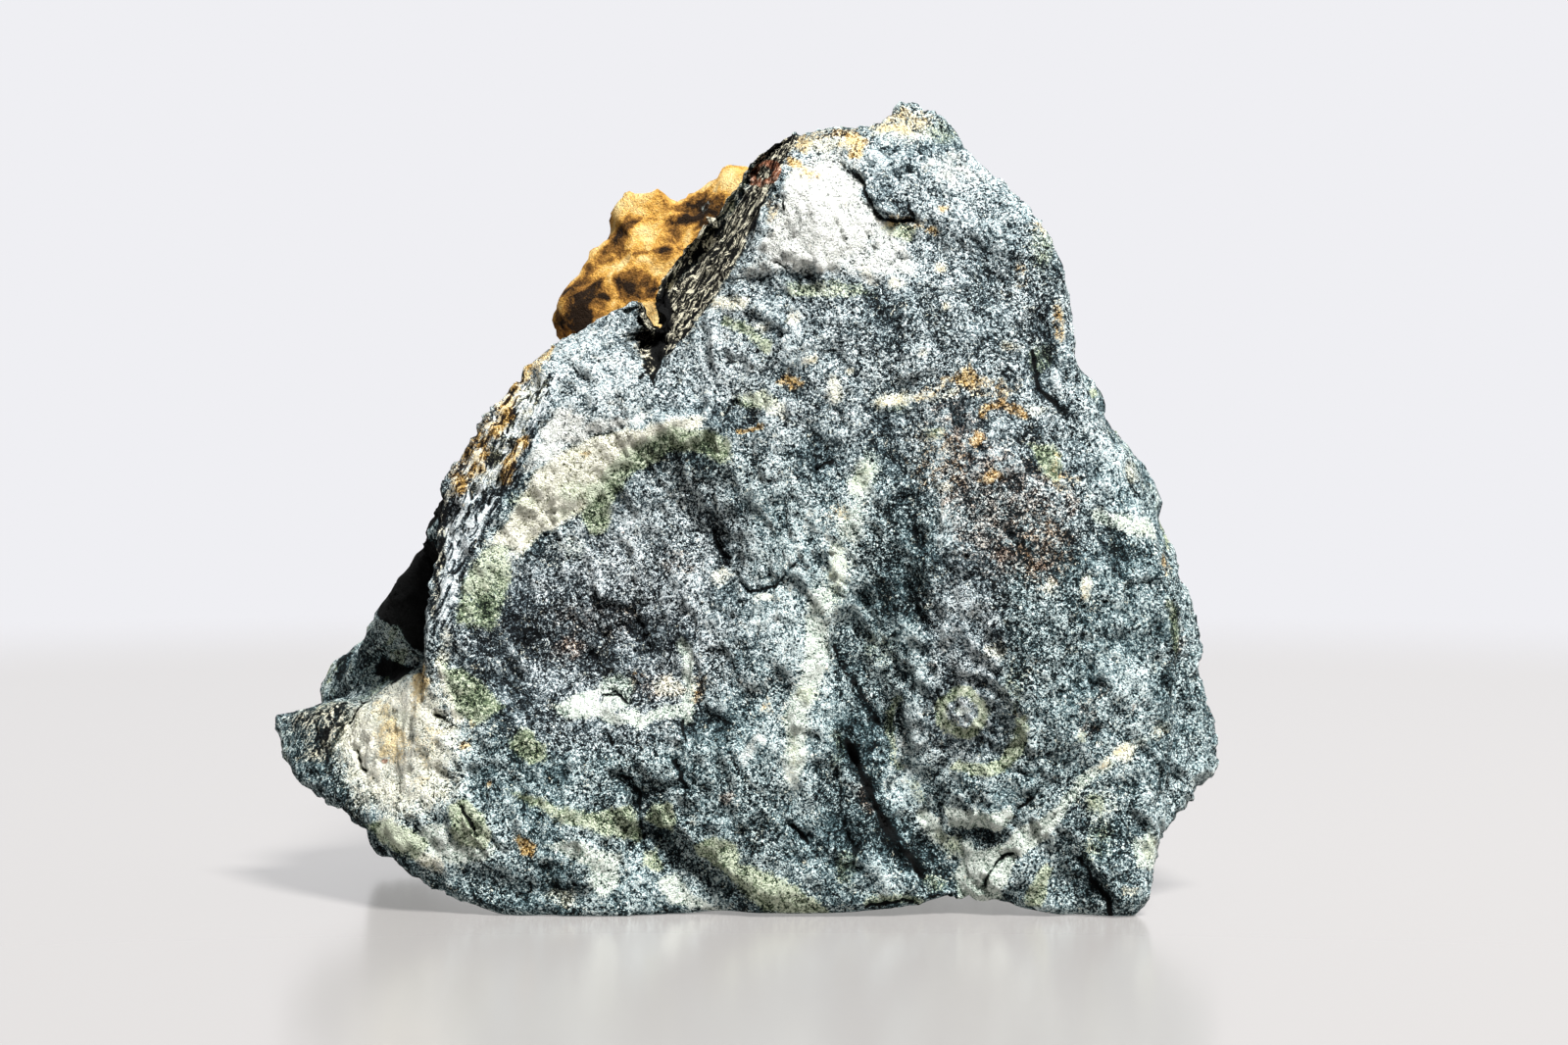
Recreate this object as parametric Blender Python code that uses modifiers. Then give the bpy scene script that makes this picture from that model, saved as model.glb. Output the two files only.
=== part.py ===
"""A rough broken lump of kambaba jasper, one solid stone that stands on three small flat spots.

The corners and centres below are in millimetres, +X to the right, +Y to the back and +Z up. The
broad fresh break faces -Y. The stone is laid out with y = 0 at its two front feet, and at the end
it is moved so that the origin is under the middle of its bounding box.
"""

import math

import bmesh
import bpy
import numpy as np
from mathutils import Euler, Matrix, Vector, noise

MM = 0.001
STONE_COLOUR = (0.2, 0.23, 0.22, 1)
STONE_ROUGHNESS = 0.82

# Convex masses, each the hull of its corners. Fused, they are the whole stone.
MASSES = {
    "core": [
        (-28, 10, 8), (28, 10, 8), (-28, 50, 12), (24, 52, 12), (-26, 14, 50), (26, 12, 56),
        (-26, 50, 50), (22, 52, 52), (-4, 16, 70), (16, 28, 72),
    ],
    "lower_body": [
        (-41.5, 3, 6), (-33, 1, 3), (-23, 0, -2.5), (-17, 5, -2.5), (-2, 1, 1), (20, 1, 1),
        (37, 0, -2.5), (32, 6, -2), (40, 5, 6),
        (-37.5, 6, 25), (-37.7, 6, 34), (-36.3, 8, 46.7), (-32.4, 9, 52), (-14, 8, 57),
        (-22, 2, 12), (-6, 1, 30), (8, 1, 42), (26, -0.5, 24), (22, 1, 46), (35, 0.5, 12),
        (-10, 8, 56), (-2, 8, 57), (16, 7, 57), (30, 8, 56),
        (42, 5, 29), (40.4, 4, 37.5), (36.3, 5, 46.8), (32, 7, 55.6),
        (-33, 24, 5), (-31, 24, 48), (36, 26, 8), (34, 26, 50),
    ],
    "upper_block": [
        (-14, 9, 57), (-6.3, 8, 67.5), (-0.5, 12, 79.7), (4.2, 14, 83), (9, 15, 84),
        (25.2, 12, 76.5), (29.8, 9, 69), (31, 8, 62), (32, 7, 55.6),
        (4, 5, 62), (16, 4, 62), (2, 8, 73), (14, 7, 75), (18, 13, 82),
        (-13, 9, 40), (0, 3, 46), (22, 1.6, 46), (26, 0.5, 30), (34, 6, 40), (6, 2, 34),
        (-2.7, 22, 81), (-10.8, 22, 72), (-11, 25, 58), (22, 30, 76), (30, 30, 55),
    ],
    "crown": [
        (7, 18, 80), (10, 20, 84.5), (13.4, 20, 87), (17, 21, 85), (21, 20, 80.5), (20, 32, 78),
        (8, 30, 78), (14, 30, 84),
    ],
    "left_spur": [
        (-57.6, 26, 17.5), (-56.6, 26, 19.8), (-45, 18, 22), (-37.5, 7, 25), (-34, 4, 18),
        (-48.5, 10, 10.2), (-41.5, 3.5, 6), (-55.4, 22, 15.2), (-34, 28, 6), (-32, 26, 24),
        (-46, 38, 9), (-44, 7, 14),
    ],
    "shoulder": [
        (-35, 10, 46), (-32.4, 9, 52), (-25.3, 12, 59.7), (-17, 16, 64.7), (-14, 9, 57), (-8, 7, 48),
        (-12, 30, 62), (-26, 34, 56), (-34, 26, 44), (-8, 30, 48),
    ],
    "underside": [
        (-38, 7, 6), (36, 8, 5), (40, 22, 9), (-42, 24, 7), (-36, 50, 7), (24, 54, 7),
        (-34, 10, 26), (34, 10, 26), (-30, 56, 24), (22, 58, 24), (-6, 60, 9), (-8, 12, 2.5),
        (10, 30, 2),
    ],
    "left_back": [
        (-52, 30, 21.5), (-45, 22, 31), (-38, 13, 41), (-34, 16, 46), (-46, 33, 3), (-43, 42, 4),
        (-49, 38, 20),
        (-36, 46, 44), (-30, 20, 30), (-30, 40, 2), (-40, 52, 14), (-24, 24, 54), (-26, 48, 52),
        (-26, 55, 14), (-26, 56, 40),
    ],
    "ochre_back": [
        (-26.8, 45, 60.7), (-23.9, 45, 69.8), (-18.6, 45, 77.2), (-11.4, 44, 78), (-1.7, 43, 82),
        (9, 34, 80), (22, 26, 74), (27, 24, 62), (30, 48, 44), (-32, 46, 44), (-22, 56, 66),
        (-4, 61, 66), (18, 54, 58), (-20, 32, 50), (30, 26, 50), (-28, 58, 30), (22, 60, 28),
    ],
    "back_foot": [
        (-36, 54, 12), (-26, 48, -1.5), (-14, 42, -2), (0, 54, -1.5), (26, 52, 6), (30, 50, 30),
        (-32, 56, 34), (10, 64, 22), (-10, 65, 34), (-30, 30, 4), (26, 28, 6),
    ],
    "right_back": [
        (34.2, 18, 53.8), (39.1, 18, 45.8), (45.3, 18, 28), (48.2, 17, 15.4), (45.6, 17, 13.1),
        (41.2, 10, 6.5), (36, 44, 10), (33, 48, 40), (28, 10, 8), (28, 10, 50), (44, 30, 20),
        (27, 26, 66), (28, 44, 58), (38, 36, 48), (24, 52, 12), (24, 55, 40),
    ],
}

# Hollows left by flakes that broke away: centre, radii, turn about X, Y and Z in degrees.
HOLLOWS = {
    "cave_behind_left_ridge": ((-41, 15, 30), (6, 5.5, 9), (0, 20, 0)),
    "crevice_under_upper_block": ((-14.5, 24, 64), (3.5, 15, 7), (0, 25, 0)),
    "arch_between_feet": ((8, 12, -4), (30, 34, 6.3), (0, 0, 0)),
}

# Broad dents (+) and swells (-) of the front break: x, z, half width, half height, turn, depth.
DENTS = {
    "left_bowl": (-17, 35, 21, 17, 35, 4.2),
    "bowl_floor": (-19, 25, 15, 9, 10, 1.6),
    "right_lobe_swell": (25, 33, 15, 24, 0, -1.8),
    "eye_socket": (20, 19.5, 7, 7, 0, 1.3),
    "white_swell": (3, 73, 9, 9, 0, -2.0),
    "spur_dish": (-44, 17, 9, 7, -30, 1.4),
    "under_ledge": (-12, 3, 11, 6, -25, 1.4),
    "left_eye": (-33, 10, 4, 4, 0, -0.9),
    "foot_knob": (35, 3.5, 6, 6, 0, -1.2),
    "right_rim_fall": (40, 60, 9, 22, 15, 2.2),
}

# Steps and grooves of the front break: points (x, z), depth, width left of it, width right of it.
GROOVES = {
    "diagonal_valley": ([(7, 31), (9.5, 22.5), (12.5, 14.5), (17, 5)], 2.8, 5.0, 1.8),
    "upper_groove": ([(-7, 66), (2, 66.5), (11, 66)], 0.9, 1.2, 1.2),
    "chip_step": ([(6, 79.5), (8.3, 75.8), (11, 71.5), (21, 70.5)], 1.3, 0.8, 3.5),
    "ledge_crack": ([(-16, 15), (-13.7, 12), (-15, 8.3), (-11, 6), (-7, 4.2)], 1.4, 0.7, 2.2),
    "bowl_crack": ([(-11, 42), (-8, 39), (-6, 35.5)], 1.2, 2.2, 0.8),
    "foot_crack": ([(26, 8.5), (29.5, 3.4), (31, 0)], 1.6, 2.4, 0.8),
}

# The front break reaches this far back, and the weathered rind of the back starts and ends here.
FRONT_DEPTH = 17
RIND_FROM, RIND_TO = 14, 30

# The roughness: the size of each kind of lump, its height on the break, and what the rind adds.
SWELLS = (13, 0.7, 1.3)
LUMPS = (6, 0, 0.7)
LEDGES = (15, 0, 1.9)
CHIPS = (7, 0.3, 0.5)

# The level that the feet are cut off at is the top of this block.
TABLE = ((-90, -40, -20), (90, 100, 0))

VOXEL = 0.8
TRIANGLES = 9000


def stone_material():
    """The overall speckled grey-green of the broken jasper."""
    material = bpy.data.materials.new("kambaba_jasper")
    material.use_nodes = True
    shader = material.node_tree.nodes["Principled BSDF"]
    shader.inputs["Base Color"].default_value = STONE_COLOUR
    shader.inputs["Roughness"].default_value = STONE_ROUGHNESS
    return material


def cutter(name, form, collection):
    """A helper object, which shapes the stone and isn't part of it."""
    mesh = bpy.data.meshes.new(name)
    form.to_mesh(mesh)
    form.free()
    obj = bpy.data.objects.new(name, mesh)
    obj.display_type = "WIRE"
    obj.hide_render = True
    collection.objects.link(obj)
    return obj


def hull(corners):
    """A convex mass."""
    form = bmesh.new()
    for corner in corners:
        form.verts.new(Vector(corner) * MM)
    bmesh.ops.convex_hull(form, input=form.verts)
    inside = [corner for corner in form.verts if not corner.link_faces]
    bmesh.ops.delete(form, geom=inside, context="VERTS")
    bmesh.ops.recalc_face_normals(form, faces=form.faces)
    return form


def ellipsoid(centre, radii, turn):
    """The smooth shell-shaped hollow of a break."""
    form = bmesh.new()
    bmesh.ops.create_icosphere(form, subdivisions=3, radius=1)
    angles = Euler([math.radians(angle) for angle in turn])
    form.transform(Matrix.LocRotScale(Vector(centre) * MM, angles, Vector(radii) * MM))
    return form


def evaluated_mesh(obj):
    """The object's mesh with its modifiers applied."""
    graph = bpy.context.evaluated_depsgraph_get()
    return bpy.data.meshes.new_from_object(obj.evaluated_get(graph))


def settle(obj):
    """Applies the modifiers of an object."""
    mesh = evaluated_mesh(obj)
    obj.modifiers.clear()
    obj.data = mesh


def smooth_step(value, low, high):
    share = np.clip((value - low) / (high - low), 0, 1)
    return share * share * (3 - 2 * share)


def dent(x, z, centre_x, centre_z, half_width, half_height, turn, depth):
    """How far a broad dent moves each point into the stone."""
    angle = math.radians(turn)
    along = (x - centre_x) * math.cos(angle) + (z - centre_z) * math.sin(angle)
    across = (z - centre_z) * math.cos(angle) - (x - centre_x) * math.sin(angle)
    reach = (along / half_width) ** 2 + (across / half_height) ** 2
    return depth * np.clip(1 - reach, 0, None) ** 2 * (1 + reach)


def groove(x, z, points, depth, left, right):
    """A groove's or step's depth at each point, with its own width on each side of the line."""
    nearest = np.full(len(x), np.inf)
    side = np.zeros(len(x))
    for (x0, z0), (x1, z1) in zip(points, points[1:]):
        run = math.hypot(x1 - x0, z1 - z0)
        ux, uz = (x1 - x0) / run, (z1 - z0) / run
        along = np.clip((x - x0) * ux + (z - z0) * uz, 0, run)
        dx, dz = x - x0 - along * ux, z - z0 - along * uz
        distance = np.hypot(dx, dz)
        closer = distance < nearest
        nearest = np.where(closer, distance, nearest)
        side = np.where(closer, ux * dz - uz * dx, side)
    width = np.where(side > 0, left, right)
    return depth * np.exp(-((nearest / width) ** 1.5))


def chipped(point, size):
    """Flat facets, one to a cell, as on a hackly break: from -1 to 1."""
    centre = noise.voronoi(point / size)[1][0]
    slope = noise.cell_vector(centre * 7.3) - Vector((0.5, 0.5, 0.5))
    return max(-1, min(1, (point / size - centre).dot(slope) * 2.4))


def place_and_facing(mesh):
    """Each vertex's place in millimetres and its normal."""
    place = np.empty(len(mesh.vertices) * 3)
    facing = np.empty(len(mesh.vertices) * 3)
    mesh.vertices.foreach_get("co", place)
    mesh.vertices.foreach_get("normal", facing)
    return place.reshape(-1, 3) / MM, facing.reshape(-1, 3)


def move(mesh, place):
    """Puts the vertices at these places in millimetres."""
    mesh.vertices.foreach_set("co", (place * MM).ravel())
    mesh.update()


def carve_front(mesh):
    """Presses the dents and grooves into the front break."""
    place, facing = place_and_facing(mesh)
    x, y, z = place.T
    share = smooth_step(-facing[:, 1], 0.05, 0.45) * smooth_step(-y, -FRONT_DEPTH, -FRONT_DEPTH + 5)
    depth = np.zeros(len(place))
    for shape in DENTS.values():
        depth += dent(x, z, *shape)
    for line in GROOVES.values():
        depth += groove(x, z, *line)
    place[:, 1] += depth * share
    move(mesh, place)


def height(kind, rind):
    """How high a kind of lump stands where the surface is this much rind."""
    return kind[1] + kind[2] * rind


def roughen(mesh):
    """Breaks the surface into swells, lumps, ledges and chips, stronger on the weathered back."""
    place, facing = place_and_facing(mesh)
    for index, (x, y, z) in enumerate(place):
        point = Vector((x, y, z))
        rind = max(0, min(1, (y - RIND_FROM) / (RIND_TO - RIND_FROM)))
        swell = noise.noise(point / SWELLS[0]) * height(SWELLS, rind)
        lump = noise.turbulence(point / LUMPS[0], 2, False) * height(LUMPS, rind)
        ledge = chipped(point, LEDGES[0]) * height(LEDGES, rind)
        chip = chipped(point, CHIPS[0]) * height(CHIPS, rind)
        place[index] += facing[index] * (swell + lump + ledge + chip)
    move(mesh, place)


def block(low, high):
    """A box between two corners."""
    form = bmesh.new()
    size = Vector(high) - Vector(low)
    middle = (Vector(high) + Vector(low)) / 2
    bmesh.ops.create_cube(form, size=1, matrix=Matrix.LocRotScale(middle * MM, None, size * MM))
    return form


def stand_on_origin(obj):
    """Moves the mesh so that the origin is under the middle of its bounding box."""
    corners = [Vector(corner) for corner in obj.bound_box]
    low = Vector(map(min, *corners))
    high = Vector(map(max, *corners))
    middle = (low + high) / 2
    obj.data.transform(Matrix.Translation((-middle.x, -middle.y, -low.z)))
    print("moved by", [round(step / MM, 2) for step in (-middle.x, -middle.y, -low.z)], "mm")


def add_boolean(obj, name, operation, other):
    """Joins another object to this one, or cuts it away."""
    modifier = obj.modifiers.new(name, "BOOLEAN")
    modifier.operation = operation
    modifier.object = other


for old in list(bpy.data.objects):
    bpy.data.objects.remove(old, do_unlink=True)

parts = bpy.data.collections.new("kambaba_jasper")
cutters = bpy.data.collections.new("cutters")
bpy.context.scene.collection.children.link(parts)
bpy.context.scene.collection.children.link(cutters)

stone = bpy.data.objects.new("kambaba_jasper", bpy.data.meshes.new("kambaba_jasper"))
parts.objects.link(stone)
masses = [cutter(name, hull(corners), cutters) for name, corners in MASSES.items()]
stone.data = masses[0].data.copy()
for mass in masses[1:]:
    add_boolean(stone, mass.name, "UNION", mass)
for name, shape in HOLLOWS.items():
    add_boolean(stone, name, "DIFFERENCE", cutter(name, ellipsoid(*shape), cutters))
fuse = stone.modifiers.new("fuse", "REMESH")
fuse.mode = "VOXEL"
fuse.voxel_size = VOXEL * MM
soften = stone.modifiers.new("soften", "SMOOTH")
soften.factor = 0.5
soften.iterations = 6
settle(stone)

carve_front(stone.data)
roughen(stone.data)

thin = stone.modifiers.new("thin", "DECIMATE")
stone.data.calc_loop_triangles()
thin.ratio = TRIANGLES / len(stone.data.loop_triangles)
add_boolean(stone, "table", "DIFFERENCE", cutter("table", block(*TABLE), cutters))
settle(stone)
stand_on_origin(stone)
stone.data.materials.append(stone_material())
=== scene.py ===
"""The rough kambaba jasper as it looks: its broken front, weathered back and speckled bands.

Lengths are in millimetres, and in metres where Blender is given them. The marks of the front break
are placed by x, to the right, and z, up, in the stone's own layout, whose zero is between the two
front feet.
"""

import math

import bmesh
import bpy
import numpy as np
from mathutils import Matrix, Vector, noise


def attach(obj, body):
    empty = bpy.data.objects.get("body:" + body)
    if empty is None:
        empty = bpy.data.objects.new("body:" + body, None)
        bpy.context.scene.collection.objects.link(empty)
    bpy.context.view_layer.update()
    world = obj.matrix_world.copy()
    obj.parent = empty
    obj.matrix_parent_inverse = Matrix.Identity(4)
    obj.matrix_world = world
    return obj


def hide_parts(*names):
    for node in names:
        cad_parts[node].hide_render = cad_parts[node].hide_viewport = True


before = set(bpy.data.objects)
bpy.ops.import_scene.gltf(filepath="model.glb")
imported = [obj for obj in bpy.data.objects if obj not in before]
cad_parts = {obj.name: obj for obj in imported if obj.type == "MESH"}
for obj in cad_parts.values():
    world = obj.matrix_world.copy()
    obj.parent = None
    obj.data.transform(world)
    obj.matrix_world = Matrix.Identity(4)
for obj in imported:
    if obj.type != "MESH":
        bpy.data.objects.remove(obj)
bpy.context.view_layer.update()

MM = 0.001
NODE = "kambaba_jasper"

# The layout's zero in the frame, in millimetres.
LAYOUT_SHIFT = np.array((4.75, -32.3, 0.0))

# The break faces -Y and reaches this far back. The weathered rind starts and ends at these depths.
FRONT_DEPTH = 17
RIND_FROM, RIND_TO = 14, 30

# The break's white specks are 0.1 to 0.3 mm; they are drawn this coarse so that they show.
GRAIN_MM = 0.24
FLAKE_MM = 0.27

# The even skin's faces, before those of the front are halved, and how often it is smoothed.
VOXEL_MM = 0.89
SMOOTHING = 7

# Corners of the solid's loose triangles closer than this are one corner.
SAME_CORNER_MM = 0.005

# How far from a crack's line its faces are halved again.
FINE_BY_CRACKS = 0.5

# The break's relief, in millimetres: how wide its chips and flakes are, and how high.
LONG_CHIPS, LONG_CHIPS_HIGH = 3.4, 0.42
CHIPS, CHIPS_HIGH = 2.2, 0.26
SMALL_CHIPS, SMALL_CHIPS_HIGH = 1.3, 0.16
FLAKES, FLAKES_HIGH = 7.0, 0.55

# Soft lumps on every side, and how much higher the weathered rind's are.
LUMPS, LUMPS_HIGH, RIND_LUMPS_MORE = 6.0, 0.15, 0.25
SMALL_LUMPS, SMALL_LUMPS_HIGH = 1.4, 0.16


def smooth_step(value, low, high):
    share = np.clip((value - low) / (high - low), 0, 1)
    return share * share * (3 - 2 * share)


def line_distance(x, z, points):
    """Distance to a broken line, and which side of it: positive on its left."""
    nearest = np.full(len(x), np.inf)
    side = np.zeros(len(x))
    for (x0, z0), (x1, z1) in zip(points, points[1:]):
        run = math.hypot(x1 - x0, z1 - z0)
        ux, uz = (x1 - x0) / run, (z1 - z0) / run
        along = np.clip((x - x0) * ux + (z - z0) * uz, 0, run)
        dx, dz = x - x0 - along * ux, z - z0 - along * uz
        distance = np.hypot(dx, dz)
        closer = distance < nearest
        nearest = np.where(closer, distance, nearest)
        side = np.where(closer, ux * dz - uz * dx, side)
    return nearest, side


def band(strength, width, *points):
    """A streak along a broken line, fading over its edges."""
    def value(x, z):
        distance, _ = line_distance(x, z, points)
        return strength * (1 - smooth_step(distance, width * 0.25, width * 0.7))
    return value


def area(strength, soft, *points):
    """A shape inside a closed line, fading over a soft edge of this width."""
    def value(x, z):
        distance, _ = line_distance(x, z, (*points, points[0]))
        inside = np.zeros(len(x), bool)
        for (x0, z0), (x1, z1) in zip(points, (*points[1:], points[0])):
            if z0 != z1:
                crosses = (z0 > z) != (z1 > z)
                inside ^= crosses & (x < (x1 - x0) * (z - z0) / (z1 - z0) + x0)
        signed = np.where(inside, distance, -distance)
        return strength * smooth_step(signed, -soft / 2, soft / 2)
    return value


def turned(x, z, x0, z0, degrees):
    """Places seen from a centre, along and across a direction counted from +X towards +Z."""
    angle = math.radians(degrees)
    along = (x - x0) * math.cos(angle) + (z - z0) * math.sin(angle)
    across = (z - z0) * math.cos(angle) - (x - x0) * math.sin(angle)
    return along, across


def patches(strength, *ovals):
    """Oval patches with soft edges, each by its x, z, width and height, and some by their turn."""
    def value(x, z):
        rest = np.ones(len(x))
        for x0, z0, wide, high, *turn in ovals:
            along, across = turned(x, z, x0, z0, sum(turn))
            reach = np.hypot(along / (wide / 2), across / (high / 2))
            rest *= 1 - strength * (1 - smooth_step(reach, 0.5, 1.3))
        return 1 - rest
    return value


def ring(strength, x0, z0, radius, width, start=0, end=360):
    """Part of a ring, between two angles counted from +X towards +Z."""
    def value(x, z):
        distance = np.abs(np.hypot(x - x0, z - z0) - radius)
        angle = np.degrees(np.arctan2(z - z0, x - x0)) - start
        inside = np.mod(angle, 360) <= end - start
        return strength * (1 - smooth_step(distance, width * 0.25, width * 0.7)) * inside
    return value


# The two places where the break is drawn out into long streaks.
LEFT_RIDGE = ((-37.8, 31), (-36.8, 44), (-32, 52), (-27.5, 57.5), (-24, 57), (-26.3, 51), (-28, 46.5),
              (-30.5, 42), (-33, 37.5), (-35, 33), (-35.8, 29))
FLANK_EDGE = ((1.6, 83), (0.6, 81.1), (-0.8, 77.9), (-2.2, 74.7), (-3.9, 70.8), (-5.7, 68), (-7.1, 65.5),
              (-8.6, 63.4), (-10.4, 61.3), (-12.6, 58.8), (-14.2, 56.5))
FLANK = (*FLANK_EDGE, (-16, 60), (-16, 66), (-13, 71.5), (-8, 78), (-3, 84))
SPUR_TIP = ((-56, 17), (-54.5, 22), (-50.5, 22.5), (-46.8, 22.5), (-47.3, 18), (-50, 14.5), (-54, 14.5))

# What colours the front break, each kind of colour as its marks. A mark starts with its strength,
# and then an area's soft edge or a streak's width.

# White stone dust, where the break is bruised.
DUST = (
    # Above the cream arc.
    area(0.75, 1.5, (-28.5, 46), (-25.5, 51.5), (-20, 52.4), (-14, 52.4), (-16.5, 51.1), (-20.6, 50.4),
        (-23.2, 49.2), (-25.8, 46.6)),
    # The bruise under the crown, and its fainter rim.
    area(1, 2.5, (-2.5, 70), (-0.8, 74), (1.5, 79), (5, 79.6), (7.6, 76.6), (9, 73), (8, 70), (4, 68.6),
        (0, 68.8)),
    area(0.65, 2, (-5.5, 66.5), (-2, 72), (1, 79.5), (4, 82), (8, 80), (9, 75), (12.5, 72), (14, 68),
        (10, 66.5), (0, 67)), area(0.3, 4, (8, 81), (17, 82), (21, 76), (20, 69), (12, 66), (8, 68)),
    # The shoulder.
    area(0.42, 2.4, (-27, 52), (-25, 60), (-17, 65), (-15.5, 60), (-15, 55.5), (-19, 53), (-24, 52.5)),
    area(0.9, 1.6, (-26.5, 50.5), (-24, 53.6), (-21.8, 53), (-21.5, 51.4), (-24.6, 49)),
    # The spur.
    area(0.55, 1.8, (-47.7, 15), (-46, 18), (-42, 18.8), (-38.7, 18), (-39, 14), (-43, 12.6)),
    # The central ridge.
    area(0.4, 3, (2, 44), (8, 44), (7, 30), (5, 24), (3, 14), (0, 13), (-3, 22), (-4, 32)),
    area(0.5, 1.5, (9.5, 19), (13, 19.5), (15, 13), (12, 11), (10, 13.5)),
    band(0.6, 1.3, (-4.4, 16.3), (-3.6, 18), (-2.4, 18.8)), patches(0.6, (-20, 22, 8, 4)),
    patches(0.5, (20, 79, 10, 6)), patches(0.42, (18.5, 31.5, 5.5, 12)),
    patches(0.4, (-10.3, 25, 1.4, 8), (-41, 23, 9, 5), (-42, 9.5, 7, 4, -45), (-15.5, 5, 3.5, 7)),
    patches(0.35, (-9, 57.5, 13, 9), (-6, 62, 8, 5), (-34, 9, 6, 5)),
    patches(0.3, (-15, 21, 5, 2.5), (27, 76, 6, 6), (-15.5, 53.5, 10, 4), (-15, 40.5, 16, 7),
        (-5, 31, 9, 4), (21, 63, 8, 5), (-32, 15, 4, 4)), patches(0.25, (-4, 44, 12, 6), (34, 45, 6, 8)),
    patches(0.2, (37.5, 27, 7, 14)),
)

# Cream bands and spots.
CREAM = (
    # The arc round the bowl.
    area(1, 1.2, (-31.4, 39), (-28.6, 43), (-26.4, 46.8), (-23.2, 49.2), (-20.6, 50.4), (-16.5, 51.1),
        (-13, 51.9), (-9.4, 52.6), (-8, 52.1), (-9, 51.4), (-11.3, 51.2), (-14.4, 49.9), (-17, 47.8),
        (-18.6, 46), (-19.6, 44.6), (-20.6, 42.3), (-23.2, 41.2), (-25.8, 40.3), (-28.3, 37.6)),
    area(0.55, 1.5, (-34.5, 33.5), (-31.6, 39), (-28.3, 37.6), (-30.9, 34.6), (-32.5, 32.5)),
    # The spur.
    area(0.75, 5, (-50, 17), (-47.5, 20.5), (-43.5, 23.5), (-38.5, 26), (-34, 20), (-34.5, 13), (-39, 10),
        (-46, 11)),
    # The left ridge.
    area(0.4, 2, (-34, 44), (-31.4, 51), (-26.5, 58), (-24.6, 56.5), (-27.5, 51), (-29.5, 45)),
    band(0.5, 1.2, (14, 54.6), (17.5, 55)),
    area(0.6, 0.8, (-5, 54.6), (-2, 55.2), (0, 53.6), (0.6, 51.8), (-1, 52.4), (-2.5, 53.5)),
    area(0.7, 0.6, (-8, 63.8), (-7.5, 65.6), (-3.4, 64.9), (-4.4, 63.7)),
    band(0.8, 0.9, (-36.4, 26.2), (-36, 24.5), (-35.2, 22.5), (-34.4, 20.8)),
    patches(0.95, (35.8, 17.2, 2.8, 2.6)), patches(0.9, (-41, 8, 5, 3, -40)),
    patches(0.8, (-37.4, 5.6, 4, 2, -30), (11.5, 54.4, 4.8, 1.6)),
    patches(0.7, (5.3, 55.3, 1.9, 3.6), (2.7, 58.7, 2, 1.1), (12, 66.4, 2.2, 1.7), (16.6, 68.2, 1.5, 1.3),
        (17.1, 64.2, 1.6, 1.2), (4.5, 81.6, 8, 2), (31.8, 34.8, 1.3, 3.6)),
    patches(0.6, (7, 57.4, 1.5, 1.1), (16.6, 45.3, 2.4, 1.2), (1, 62.8, 1.7, 1.7), (8.5, 68, 1.8, 1.6),
        (13, 83.6, 9, 4), (-6.6, 35.6, 2.4, 2.4), (38, 46, 2, 3), (-12, 24, 4, 2.4), (36.4, 3.1, 2.2, 1),
        (27.6, 35, 1.6, 1.4)),
    patches(0.5, (-41, 21, 7, 4, 20), (-46, 18, 4, 5), (14.6, 59.3, 1.4, 1.2), (24, 60, 3, 1.6),
        (26.5, 53.3, 3, 1.5), (5.2, 65.7, 6, 1.2), (-2.4, 62, 1.6, 1.4), (-1.8, 33.6, 4, 1),
        (-35.8, 28, 1.6, 5), (-23.5, 2, 4, 2)), patches(0.4, (22, 28, 3, 2)),
)

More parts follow.
